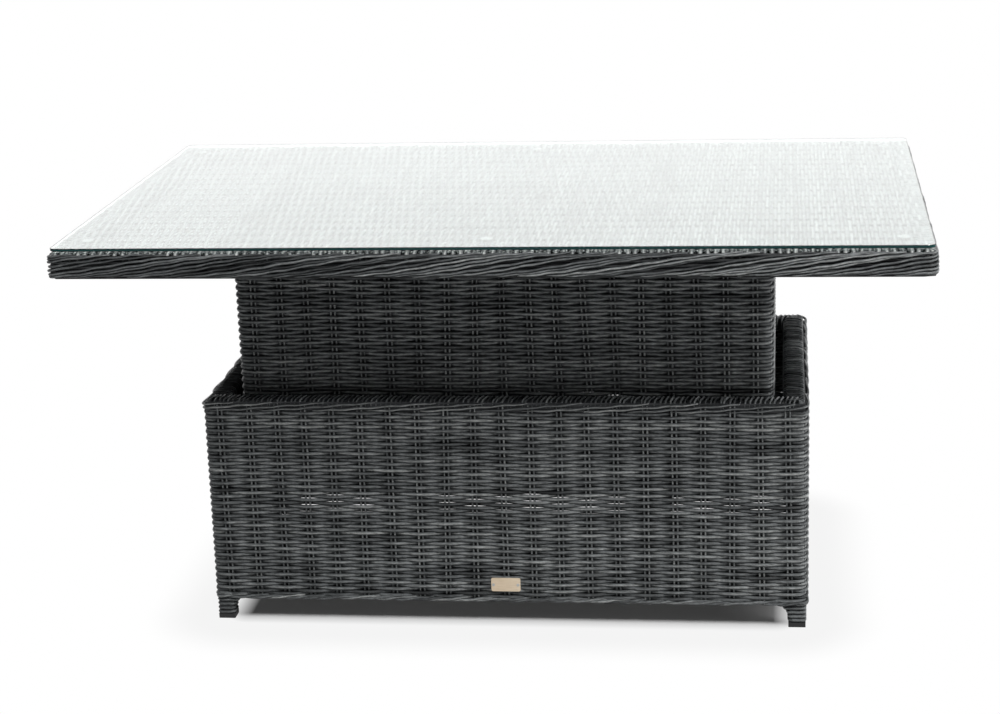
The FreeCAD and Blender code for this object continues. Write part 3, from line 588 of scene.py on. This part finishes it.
# %% Wrapped stitches
STITCH_PLACE_UNEVEN = 0.09
STITCH_HEIGHT_UNEVEN = 0.25 * MM
STITCH_SLANT_UNEVEN = 0.06
STITCH_TONE = 0.45
STITCH_TONE_SPREAD = 0.14


def stitch_patch(outline, path_mm, pitch, section, rng, slant=0.0, tone_mean=STITCH_TONE):
    """Short strands laid across a rim, one every pitch along it.

    path_mm lists the distance out from the rim's outer face and the height of each point of a strand, and
    section is half its thickness and width. Every strand repeats the path across the rim, moved along the rim
    by slant for each metre inward and by a small seeded shift.
    """
    outer_x, outer_y, corner = outline
    half_thick, half_wide = section
    way_round = loop_length(outer_x / 2, outer_y / 2, corner)
    count = int(round(way_round / pitch))
    shift = rng.uniform(-STITCH_PLACE_UNEVEN, STITCH_PLACE_UNEVEN, count)
    s = (np.arange(count) + shift)[:, None] * way_round / count
    out, height = np.array(path_mm).T * MM
    z = height + rng.normal(0, STITCH_HEIGHT_UNEVEN, (count, 1))
    lean = (slant + rng.normal(0, STITCH_SLANT_UNEVEN, (count, 1))) * (out.mean() - out)
    x, y, nx, ny = around_box(s + lean, outer_x / 2, outer_y / 2, corner)
    centre = stacked(x + nx * out, y + ny * out, z)
    ahead = np.gradient(centre, axis=1)
    ahead /= np.linalg.norm(ahead, axis=2, keepdims=True)
    along_rim = stacked(-ny, nx, 0.0)
    facing = np.cross(ahead, along_rim)
    tone = strand_tones(rng, count, tone_mean, STITCH_TONE_SPREAD)
    return strand_patch(centre, facing, along_rim, half_thick, half_wide, tone, closed=False)


# %% [markdown]
# The lower box. Its weave is split in three bands of whole rows, because a piece of the library stays below a
# set number of triangles. The stakes are one piece. The bottom border and the wale below the rim are strokes,
# and the rim itself is a rail wrapped by short strands that go over its top.

# %% Lower box
BASE_X, BASE_Y = 1024 * MM, 576 * MM
BASE_CORNER = 18 * MM
BASE_OUTLINE = (BASE_X, BASE_Y, BASE_CORNER)
BASE_BOTTOM, BASE_TOP = 37 * MM, 398 * MM
BASE_STAKES_X, BASE_STAKES_Y = 21, 12
BASE_ROW_PITCH = 5.95 * MM
# Half the height of a strand behind a stake, over the pitch, at some heights in mm. Where it is small the
# weave is slack and lets light through, as it does in one band of the photograph.
BASE_BEHIND = ((80, 0.77), (105, 0.95), (190, 0.95), (203, 0.6), (240, 0.6), (258, 0.95), (390, 1.0))
ROWS_ABOVE_BOTTOM = 8 * MM
STAKES_ABOVE_BOTTOM = 4 * MM
STAKES_BELOW_TOP = 8 * MM
BORDER_TALL = 13 * MM
WALE_LOW, WALE_HIGH = 377 * MM, 395 * MM
ROWS_INTO_WALE = 2 * MM
RIM_WRAP_MM = ((-42, 376), (-42.4, 387), (-40.6, 393.6), (-35, 396.6), (-16, 396.8), (-10.5, 395.2),
               (-8.5, 391), (-8.5, 385))
base_rng = np.random.default_rng(11)
base_plan = wall_plan(BASE_X, BASE_Y, BASE_STAKES_X, BASE_STAKES_Y, base_rng)
base_rows = wall_rows(base_plan, BASE_BOTTOM + ROWS_ABOVE_BOTTOM, WALE_LOW + ROWS_INTO_WALE, BASE_ROW_PITCH,
                      BASE_BEHIND, base_rng)
weave_bands("base_weave", ("lower", "middle", "upper"), base_rows, "base", base_rng)
stakes = stake_patch(base_plan, BASE_BOTTOM + STAKES_ABOVE_BOTTOM, BASE_TOP - STAKES_BELOW_TOP, base_rng)
woven("base_stakes", stakes, "base")
border = wale_patch(
    grown(BASE_OUTLINE, 1 * MM), (BASE_BOTTOM, BASE_BOTTOM + BORDER_TALL), strokes=96, reach=84 * MM,
    section=(2.6 * MM, 2.9 * MM), dive=(5 * MM, 7 * MM), rng=base_rng, ease=0.2, tone_mean=0.57)
woven("base_border", border, "base")
wale = wale_patch(
    grown(BASE_OUTLINE, 1.5 * MM), (WALE_LOW, WALE_HIGH), strokes=36, reach=200 * MM,
    section=(2.4 * MM, 2.2 * MM), dive=(6 * MM, 6 * MM), rng=base_rng)
woven("base_wale", wale, "base")
stitches = stitch_patch(
    BASE_OUTLINE, RIM_WRAP_MM, pitch=8.2 * MM, section=(1.9 * MM, 2.1 * MM), rng=base_rng, slant=0.22,
    tone_mean=0.54)
woven("base_rim_stitches", stitches, "base", four_sides("base_rim_wrap"))

# %% [markdown]
# The four legs are the posts of the frame, wrapped below the box with a few turns of strand. Each turn is a
# ring round a small square with rounded corners.

# %% Leg wraps
LEG_X, LEG_Y = 492.5 * MM, 268.5 * MM
LEG_WIDE = 32 * MM
LEG_CORNER = 5 * MM
LEG_LOW, LEG_HIGH = 8 * MM, 38 * MM
LEG_TURNS = 4
LEG_POINTS = 40
LEG_HALF_THICK = 3.2 * MM
LEG_HALF_TALL_OVER_PITCH = 0.42
LEG_TILT = 0.6 * MM
LEG_FLARE = 8 * MM


def leg_patch(rng):
    """Rings round four legs: each follows a rounded square and tilts a little, as a wound strand does.

    The upper turns grow inward along X, by LEG_FLARE at the top one, where the leg spreads to meet the wall.
    """
    half = LEG_WIDE / 2 - LEG_HALF_THICK
    way_round = loop_length(half, half, LEG_CORNER)
    s = np.linspace(0, way_round, LEG_POINTS, endpoint=False)[None, :]
    x, y, nx, ny = around_box(s, half, half, LEG_CORNER)
    side_x = np.repeat(np.array([-1, 1, 1, -1]), LEG_TURNS)[:, None]
    side_y = np.repeat(np.array([-1, -1, 1, 1]), LEG_TURNS)[:, None]
    pitch = (LEG_HIGH - LEG_LOW) / LEG_TURNS
    turn = np.tile(np.arange(LEG_TURNS), 4)[:, None]
    level = LEG_LOW + (turn + 0.5) * pitch
    tilt = rng.normal(0, LEG_TILT, (4 * LEG_TURNS, 1)) * np.cos(2 * math.pi * s / way_round)
    inner = np.where(side_x * x < 0, 1.0, 0.0)
    flare = LEG_FLARE * (turn / (LEG_TURNS - 1)) ** 3 * inner
    centre = stacked(side_x * (LEG_X - flare) + x, side_y * LEG_Y + y, level + tilt)
    outward = np.broadcast_to(stacked(nx, ny, 0.0), centre.shape)
    tone = strand_tones(rng, 4 * LEG_TURNS, mean=0.6, spread=0.15, limits=(0.05, 0.95))
    half_tall = LEG_HALF_TALL_OVER_PITCH * pitch
    return strand_patch(centre, outward, everywhere(UP, centre), LEG_HALF_THICK, half_tall, tone, closed=True)


woven("leg_strands", leg_patch(np.random.default_rng(5)), "base", ["leg_wraps"])

# %% [markdown]
# The upper box hangs under the table top and slides into the lower one. It is woven the same way, with
# slightly wider rows, and it too is slack in one band, just above the lower box.

# %% Upper box
SKIRT_X, SKIRT_Y = 910 * MM, 476 * MM
SKIRT_OUTLINE = (SKIRT_X, SKIRT_Y, BASE_CORNER)
SKIRT_BOTTOM, SKIRT_TOP = 322 * MM, 660 * MM
SKIRT_STAKES_X, SKIRT_STAKES_Y = 19, 10
SKIRT_ROW_PITCH = 6.3 * MM
SKIRT_BEHIND = ((384, 0.6), (398, 0.6), (410, 0.86), (650, 0.9))
skirt_rng = np.random.default_rng(23)
skirt_plan = wall_plan(SKIRT_X, SKIRT_Y, SKIRT_STAKES_X, SKIRT_STAKES_Y, skirt_rng)
skirt_rows = wall_rows(skirt_plan, SKIRT_BOTTOM + ROWS_ABOVE_BOTTOM, SKIRT_TOP, SKIRT_ROW_PITCH, SKIRT_BEHIND,
                       skirt_rng)
weave_bands("skirt_weave", ("lower", "upper"), skirt_rows, "top", skirt_rng)
stakes = stake_patch(skirt_plan, SKIRT_BOTTOM + STAKES_ABOVE_BOTTOM, SKIRT_TOP, skirt_rng)
woven("skirt_stakes", stakes, "top")
border = wale_patch(
    SKIRT_OUTLINE, (SKIRT_BOTTOM, SKIRT_BOTTOM + BORDER_TALL), strokes=58, reach=100 * MM,
    section=(2.4 * MM, 3.0 * MM), dive=(5 * MM, 5 * MM), rng=skirt_rng)
woven("skirt_border", border, "top")

# %% [markdown]
# The table top is a woven field under the glass. Its strands run from front to back, over and under pairs of
# flat stakes that run from left to right.

# %% Field of the top
FIELD_X, FIELD_Y = 1384 * MM, 876 * MM
FIELD_PITCH = 6.6 * MM
FIELD_MIDDLE = 689 * MM
FIELD_SWING = 2.4 * MM
FIELD_HALF_THICK = 1.7 * MM
# Half the width of a strand over the pitch: between two stakes, over one and under one.
FIELD_MIDWAY, FIELD_OVER, FIELD_UNDER = 0.53, 0.5, 0.95
FIELD_STAKES = 19
FIELD_STEPS = 5
FIELD_STAKE_HALF_THICK = 0.8 * MM
FIELD_STAKE_POINTS = 9
# A strand wanders sideways along a sine of so many radians in a metre, which starts at up to so many radians.
WANDER = 0.3 * MM
WANDER_PER_METRE = 9
WANDER_START = 6
top_rng = np.random.default_rng(31)


def field_rows(rng):
    """Strands from front to back: height is FIELD_SWING * cos(pi * (stake number + strand number)).

    Half the width is a share of the pitch that goes with the square of the cosine from FIELD_MIDWAY to
    FIELD_OVER or FIELD_UNDER.
    """
    count = int(FIELD_X / FIELD_PITCH)
    stake = np.linspace(-0.5, FIELD_STAKES - 0.5, FIELD_STAKES * FIELD_STEPS + 1)[None, :]
    number = np.arange(count)[:, None]
    phase = np.cos(math.pi * (stake + number))
    y = ((stake + 0.5) / FIELD_STAKES - 0.5) * FIELD_Y
    wander = WANDER * np.sin(WANDER_PER_METRE * y + rng.uniform(0, WANDER_START, (count, 1)))
    x = (number - (count - 1) / 2) * FIELD_PITCH + wander
    centre = stacked(x, y, FIELD_MIDDLE + FIELD_SWING * phase)
    swell = np.where(phase > 0, FIELD_OVER, FIELD_UNDER) - FIELD_MIDWAY
    wide = (FIELD_MIDWAY + swell * phase ** 2) * FIELD_PITCH
    return centre, wide, left_by_painted_shade(phase)


def field_patch(rows_of_field, chosen, rng):
    """The patch of some strands of the field, which run along +Y."""
    centre, wide, share = (part[chosen] for part in rows_of_field)
    to_left = everywhere((-1.0, 0.0, 0.0), centre)
    # Painted shade: where a strand is deepest under a stake its grey is taken out to near black.
    tone = strand_tones(rng, len(centre), mean=0.82, spread=0.1) * share
    return strand_patch(centre, everywhere(UP, centre), to_left, FIELD_HALF_THICK, wide, tone, closed=False)


def field_stake_patch(rng):
    """Pairs of flat stakes along +X, under and over which the field's strands go."""
    y = ((np.arange(FIELD_STAKES) + 0.5) / FIELD_STAKES - 0.5) * FIELD_Y
    y = (y[:, None] + np.array([-STAKE_HALF_GAP, STAKE_HALF_GAP])).reshape(-1, 1)
    x = np.linspace(-FIELD_X / 2, FIELD_X / 2, FIELD_STAKE_POINTS)[None, :]
    centre = stacked(x, y, FIELD_MIDDLE)
    to_rear = everywhere((0.0, 1.0, 0.0), centre)
    tone = strand_tones(rng, len(centre), mean=0.85, spread=0.1, limits=(0.3, 1.0))
    return strand_patch(centre, everywhere(UP, centre), to_rear, FIELD_STAKE_HALF_THICK, STAKE_RADIUS, tone,
                        closed=False)


field = field_rows(top_rng)
for half, numbers in zip(("left", "right"), np.array_split(np.arange(len(field[0])), 2)):
    woven(f"top_field_{half}", field_patch(field, numbers, top_rng), "top", ["top_weave"])
woven("top_field_stakes", field_stake_patch(top_rng), "top")

# %% [markdown]
# All round the edge of the top short strands come over the frame, and below them a wale of long strokes
# covers the frame's outer face. Plain loops behind the wale keep light from showing between its strokes, and
# their near-black grey is painted shade in those gaps. More stitches close the underside of the rim.

# %% Rim of the top
TOP_OUTLINE = (1412 * MM, 904 * MM, 16 * MM)
EDGE_STRAND_MM = ((-36, 688.5), (-22, 690.4), (-13, 690.8), (-8.4, 689.6), (-6.4, 686), (-6.6, 680))
UNDER_STITCH_MM = ((-9, 664), (-8.6, 659), (-10.4, 656.4), (-15, 655), (-24, 655), (-30, 656), (-31.4, 658.5))
RIM_LOW, RIM_HIGH = 650.5 * MM, 692 * MM
CORE_HEIGHTS_MM = (653.8, 661, 669, 677, 685)
CORE_POINTS = 240
# The near-black grey of the loops is painted shade in the gaps between the wale's strokes.
CORE_SHADE_TONE = 0.1


def core_patch(outline, inset, heights_mm, section):
    """Near-black strands behind a wale, as painted shade: closed loops at these heights, at one inset from
    the outer face.
    """
    outer_x, outer_y, corner = outline
    half_out, half_tall = section
    half_x = outer_x / 2 - inset
    half_y = outer_y / 2 - inset
    radius = corner - inset
    s = np.linspace(0, loop_length(half_x, half_y, radius), CORE_POINTS, endpoint=False)[None, :]
    x, y, nx, ny = around_box(s, half_x, half_y, radius)
    centre = stacked(x, y, np.array(heights_mm)[:, None] * MM)
    outward = np.broadcast_to(stacked(nx, ny, 0.0), centre.shape)
    return strand_patch(centre, outward, everywhere(UP, centre), half_out, half_tall, CORE_SHADE_TONE, closed=True)


edge_strands = stitch_patch(
    TOP_OUTLINE, EDGE_STRAND_MM, pitch=12.4 * MM, section=(2.1 * MM, 4.1 * MM), rng=top_rng, tone_mean=0.96)
woven("top_edge_strands", edge_strands, "top")
rim_wale = wale_patch(
    grown(TOP_OUTLINE, 1 * MM), (RIM_LOW, RIM_HIGH), strokes=118, reach=300 * MM,
    section=(2.8 * MM, 2.25 * MM), dive=(3 * MM, 4 * MM), rng=top_rng, ease=0.4, tone_mean=0.53)
woven("top_rim_wale", rim_wale, "top", four_sides("top_rim"))
rim_core = core_patch(TOP_OUTLINE, 5 * MM, CORE_HEIGHTS_MM, section=(2.5 * MM, 3.6 * MM))
woven("top_rim_core", rim_core, "top")
rim_under = stitch_patch(
    TOP_OUTLINE, UNDER_STITCH_MM, pitch=8 * MM, section=(1.8 * MM, 3.8 * MM), rng=top_rng)
woven("top_rim_stitches", rim_under, "top", four_sides("top_rim"))

# %% [markdown]
# The parts whose CAD shape is already right keep it and get a finish. Most of these finishes are one surface
# with a fine grain: a little change of colour and gloss, and a shallow bump. One function makes such a
# material from its colours, roughness and grain size, and each real finish below only gives its own numbers.

# %% Finishes of the kept parts
BROAD_PER_METRE = 9.0
# The sum of two noises stays between these for most of its area.
USUAL_SUM = (0.75, 1.25)


def grained(name, colours, rough, grain_mm, bump_mm, metallic=0.0, stretch=(1.0, 1.0, 1.0)):
    """A surface with a fine grain, which moves colour and roughness and gives a shallow bump.

    Broad noise is added to the grain for colour and roughness. A small number in stretch makes the grain long
    along that axis.
    """
    material, tree = new_material(name)
    place = add_node(tree, "TexCoord").outputs["Object"]
    grain = noise(tree, place, tuple(part * 1000 / grain_mm for part in stretch), Detail=3.0)
    broad = noise(tree, place, (BROAD_PER_METRE,) * 3, Detail=2.0)
    both = calculate(tree, "ADD", grain, broad)
    share = remap(tree, both, USUAL_SUM, (0.0, 1.0))
    colour = mix_colours(tree, share, linear(colours[0]), linear(colours[1]))
    gloss = remap(tree, both, USUAL_SUM, rough)
    relief = add_node(tree, "Bump", {"Height": grain, "Strength": 0.5, "Distance": bump_mm * MM})
    shader = add_node(tree, "BsdfPrincipled", {
        "Base Color": colour, "Metallic": metallic, "Roughness": gloss, "Normal": relief.outputs[0]})
    add_node(tree, "OutputMaterial", {"Surface": shader.outputs[0]})
    return material


finishes = {
    # Aluminium tube with a sprayed and baked powder coat: dark grey, satin, with a slight orange peel.
    "frame_aluminium": grained(
        "powder_coated_aluminium", ("#2c2e30", "#3a3c3f"), rough=(0.42, 0.58), grain_mm=1.2, bump_mm=0.12),
    # Polypropylene feet from a spark-eroded mould: near black, matt, with a fine leathery texture.
    "foot_plastic": grained(
        "moulded_polypropylene", ("#0b0b0c", "#151617"), rough=(0.6, 0.75), grain_mm=0.9, bump_mm=0.1),
    # Aluminium plate, brushed along its length and anodised champagne: long fine lines in a warm satin metal.
    "plate_metal": grained(
        "brushed_anodised_aluminium", ("#c6b194", "#e6d5bd"), rough=(0.34, 0.5), grain_mm=0.5, bump_mm=0.03,
        metallic=0.5, stretch=(0.02, 1.0, 1.0)),
    # Zinc-plated steel bolts and rivets: bright grey with a slightly uneven gloss.
    "fastener_steel": grained(
        "zinc_plated_steel", ("#9a9b9b", "#c0c0be"), rough=(0.25, 0.42), grain_mm=1.5, bump_mm=0.02,
        metallic=1.0),
    # Square steel tube, painted satin black.
    "column_steel": grained(
        "painted_steel_tube", ("#17181a", "#232527"), rough=(0.32, 0.46), grain_mm=2.0, bump_mm=0.06),
    # Cast nylon guides: off-white, slightly waxy.
    "nylon": grained("cast_nylon", ("#c9c5b8", "#dedbd0"), rough=(0.35, 0.5), grain_mm=1.6, bump_mm=0.05),
    # Gas spring cylinder, dipped in black enamel: smooth and glossy.
    "cylinder_paint": grained(
        "black_enamel", ("#101112", "#1a1b1c"), rough=(0.12, 0.22), grain_mm=3.0, bump_mm=0.02),
    # Hard chromed and ground rod: a mirror with faint rings from grinding.
    "rod_chrome": grained(
        "ground_hard_chrome", ("#c4c7ca", "#dcdee0"), rough=(0.06, 0.14), grain_mm=0.4, bump_mm=0.01,
        metallic=1.0, stretch=(0.1, 0.1, 1.0)),
    # Cold drawn steel shaft: grey metal with fine lines along the bar.
    "shaft_steel": grained(
        "cold_drawn_steel", ("#777b7f", "#969a9e"), rough=(0.28, 0.42), grain_mm=0.5, bump_mm=0.02,
        metallic=1.0, stretch=(0.03, 1.0, 1.0)),
    # ABS lever, moulded black with a fine matt texture.
    "paddle_plastic": grained(
        "moulded_abs", ("#1b1c1d", "#2b2d2e"), rough=(0.4, 0.55), grain_mm=0.8, bump_mm=0.08),
}
print("finishes", sorted(finishes))

# %% [markdown]
# The glass is a 5 mm sheet of toughened float glass with ground and polished edges. Float glass is clear
# through its face, but its iron makes it green over a long way. Light that leaves at the edge has crossed the
# whole sheet, so the edge looks dark teal. Real absorption would need many inner reflections, so the upright
# face of the edge has a dark glossy surface of its own, chosen by its distance from the middle. The small
# bevel above it stays clear and catches the light as a pale line.

# %% Glass
GLASS_HALF_X, GLASS_HALF_Y = 700 * MM, 446 * MM
GLASS_CORNER = 12 * MM
GLASS_BEVEL_LOW = 699.2 * MM
EDGE_DEPTH = 0.3 * MM


def make_glass():
    """Float glass: clear face with sharp reflections, dark teal upright edge."""
    material, tree = new_material("toughened_float_glass")
    away = distance_outside(tree, GLASS_HALF_X - GLASS_CORNER, GLASS_HALF_Y - GLASS_CORNER)
    at_rim = calculate(tree, "GREATER_THAN", away, GLASS_CORNER - EDGE_DEPTH)
    place = add_node(tree, "TexCoord").outputs["Object"]
    height = add_node(tree, "SeparateXYZ", {0: place}).outputs["Z"]
    under_bevel = calculate(tree, "LESS_THAN", height, GLASS_BEVEL_LOW)
    on_edge = calculate(tree, "MULTIPLY", at_rim, under_bevel)
    face = add_node(tree, "BsdfPrincipled", {
        "Base Color": linear("#f3faf8"), "Roughness": 0.0, "IOR": 1.52, "Transmission Weight": 1.0})
    edge = add_node(tree, "BsdfPrincipled", {
        "Base Color": linear("#0d3a39"), "Roughness": 0.08, "Specular IOR Level": 0.2})
    mixed = add_node(tree, "MixShader", {0: on_edge, 1: face.outputs[0], 2: edge.outputs[0]})
    add_node(tree, "OutputMaterial", {"Surface": mixed.outputs[0]})
    return material


finishes["glass"] = make_glass()
print("made", finishes["glass"].name)

# %% [markdown]
# Six soft pads keep the glass off the wicker. They are cast from clear silicone, and look milky. The CAD pads
# are plain discs, so new ones with a round side stand for them. Then every CAD node gets the finish of its
# material slot.

# %% Silicone pads and the finishes of all nodes
PAD_X, PAD_Y = 655 * MM, 378 * MM
PAD_RADIUS = 10 * MM
PAD_BULGE = 1.2 * MM
PAD_LOW, PAD_HIGH = 693 * MM, 694.8 * MM
PAD_POINTS = 7
PAD_SIDES = 28
PAD_TONE = 0.5
CLOUDS_PER_METRE = 400.0


def make_silicone():
    """Clear silicone pad: milky, soft gloss, a little light passes through."""
    material, tree = new_material("clear_silicone_rubber")
    place = add_node(tree, "TexCoord").outputs["Object"]
    cloud = noise(tree, place, (CLOUDS_PER_METRE,) * 3)
    gloss = remap(tree, cloud, (0.0, 1.0), (0.3, 0.5))
    shader = add_node(tree, "BsdfPrincipled", {
        "Base Color": linear("#b9bdbc"), "Roughness": gloss, "IOR": 1.41, "Transmission Weight": 0.4})
    add_node(tree, "OutputMaterial", {"Surface": shader.outputs[0]})
    return material


def pad_patch():
    """Six low round pads: an upright stroke each, whose radius swells to PAD_RADIUS at half its height."""
    x, y = (part.reshape(-1, 1) for part in np.meshgrid([-PAD_X, 0.0, PAD_X], [-PAD_Y, PAD_Y]))
    rise = np.linspace(0, 1, PAD_POINTS)[None, :]
    centre = stacked(x, y, PAD_LOW + (PAD_HIGH - PAD_LOW) * rise)
    radius = PAD_RADIUS - PAD_BULGE * (2 * rise - 1) ** 2
    to_rear = everywhere((0.0, 1.0, 0.0), centre)
    to_right = everywhere((1.0, 0.0, 0.0), centre)
    return strand_patch(centre, to_rear, to_right, radius, radius, PAD_TONE, closed=False, sides=PAD_SIDES)


finishes["clear_rubber"] = make_silicone()
new_piece("glass_pad_discs", pad_patch(), finishes["clear_rubber"], "top", ["glass_pads"])
finishes["wicker"] = wicker
for node_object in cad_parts.values():
    for material_slot in node_object.material_slots:
        material_slot.material = finishes[material_slot.material.name.split(".")[0]]
print("dressed", len(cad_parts), "CAD nodes")

# %% [markdown]
# The studio has a pale floor and an even white surround. Under the base the floor is matt and keeps the
# shadow, though a faint glow lifts it as painted light. The matt part stops short of the base's sides and
# ends, and the glow there is painted light where the floor would be shaded. Just outside the base it glows,
# for rays that the eye follows, in a very pale grey that is a painted soft shadow and turns to plain white
# further out, so that the picture has no horizon. The surround is white for the same rays and dim for all
# others, so that the lamps make the light.

# %% Floor and surround
WHITE = "#ffffff"
FLOOR_PAINT = "#c4c4c4"
PAINTED_SHADOW_GREY = "#f4f4f4"
FLOOR_HALF = 40.0
SURROUND_FILL = 0.035
# How far inside the base's long and short sides the matt part ends, how wide its edge is, and how much of the
# glow it has. The glow over that edge and within the matt part is painted light on the floor's shading.
SHADOW_INSET = 0.03
SHADOW_END_INSET = 0.06
SHADOW_FADE = 0.045
SHADOW_PAINTED_LIFT = 0.04
# Distances from the matt part between which the pale grey of the painted soft shadow turns to white.
PAINTED_SHADOW_NEAR, PAINTED_SHADOW_FAR = 0.085, 0.2


def seen_by_eye(tree):
    """1 for rays from the camera, also after a mirror or through glass, and 0 for rays that gather light."""
    path = add_node(tree, "LightPath")
    direct = calculate(tree, "MAXIMUM", path.outputs["Is Camera Ray"], path.outputs["Is Glossy Ray"])
    return calculate(tree, "MAXIMUM", direct, path.outputs["Is Transmission Ray"])


def make_floor():
    """Pale painted floor: matt under the base, and a glow for eye rays outside, a painted pale grey shadow
    and then white.
    """
    material, tree = new_material("matt_white_floor")
    away = distance_outside(tree, BASE_X / 2 - SHADOW_END_INSET, BASE_Y / 2 - SHADOW_INSET)
    # Painted light: the glow covers the floor's shading near and under the base's edges, and a little of it
    # lifts the shadow inside.
    far = remap(tree, away, (0.0, SHADOW_FADE), (SHADOW_PAINTED_LIFT, 1.0))
    share = calculate(tree, "MULTIPLY", seen_by_eye(tree), far)
    matt = add_node(tree, "BsdfDiffuse", {"Color": linear(FLOOR_PAINT)})
    # Painted shadow: near the base the glow is a pale grey that turns to white further out.
    fade = remap(tree, away, (PAINTED_SHADOW_NEAR, PAINTED_SHADOW_FAR), (0.0, 1.0), interpolation_type="SMOOTHSTEP")
    painted_shadow_colour = mix_colours(tree, fade, linear(PAINTED_SHADOW_GREY), linear(WHITE))
    glow = add_node(tree, "Emission", {"Color": painted_shadow_colour, "Strength": 1.0})
    mixed = add_node(tree, "MixShader", {0: share, 1: matt.outputs[0], 2: glow.outputs[0]})
    add_node(tree, "OutputMaterial", {"Surface": mixed.outputs[0]})
    return material


floor_mesh = bpy.data.meshes.new("studio_floor")
square = FLOOR_HALF * np.array([[-1, -1, 0], [1, -1, 0], [1, 1, 0], [-1, 1, 0]])
floor_mesh.from_pydata(square.tolist(), [], [(0, 1, 2, 3)])
floor_mesh.materials.append(make_floor())
floor = bpy.data.objects.new("studio_floor", floor_mesh)
scene.collection.objects.link(floor)

world = bpy.data.worlds.new("white_surround")
world.use_nodes = True
sky = world.node_tree
sky.nodes.clear()
sky_level = remap(sky, seen_by_eye(sky), (0.0, 1.0), (SURROUND_FILL, 1.0))
sky_light = add_node(sky, "Background", {"Color": linear(WHITE), "Strength": sky_level})
add_node(sky, "OutputWorld", {"Surface": sky_light.outputs[0]})
scene.world = world
print("floor and surround", floor.name, world.name)

# %% [markdown]
# Three soft lamps. The large one above the front gives most of the light. One on the right lights the ends of
# the weave and the rim inside the lower box. The strip behind the table is what the glass mirrors towards the
# camera.

# %% Lamps
def add_softbox(name, place, aim, wide, tall, radiance):
    """A rectangular lamp at place that faces aim; its power is radiance times area times pi."""
    data = bpy.data.lights.new(name, "AREA")
    data.shape = "RECTANGLE"
    data.size = wide
    data.size_y = tall
    data.energy = radiance * wide * tall * math.pi
    lamp = bpy.data.objects.new(name, data)
    scene.collection.objects.link(lamp)
    back = np.array(place, float) - np.array(aim, float)
    back /= np.linalg.norm(back)
    right = np.cross(UP, back)
    right /= np.linalg.norm(right)
    lamp.matrix_world = pose_matrix((right, np.cross(back, right), back), place)
    lamp.visible_camera = False


add_softbox("front_softbox", place=(1.2, -2.1, 4.2), aim=(0.0, 0.0, 0.3), wide=2.0, tall=1.6, radiance=18.0)
add_softbox("side_softbox", place=(3.0, -0.5, 1.5), aim=(0.2, -0.1, 0.3), wide=1.6, tall=1.6, radiance=6.8)
add_softbox("glass_strip", place=(-0.5, 3.0, 1.45), aim=(-0.2, 0.0, 0.8), wide=4.4, tall=1.3, radiance=0.55)
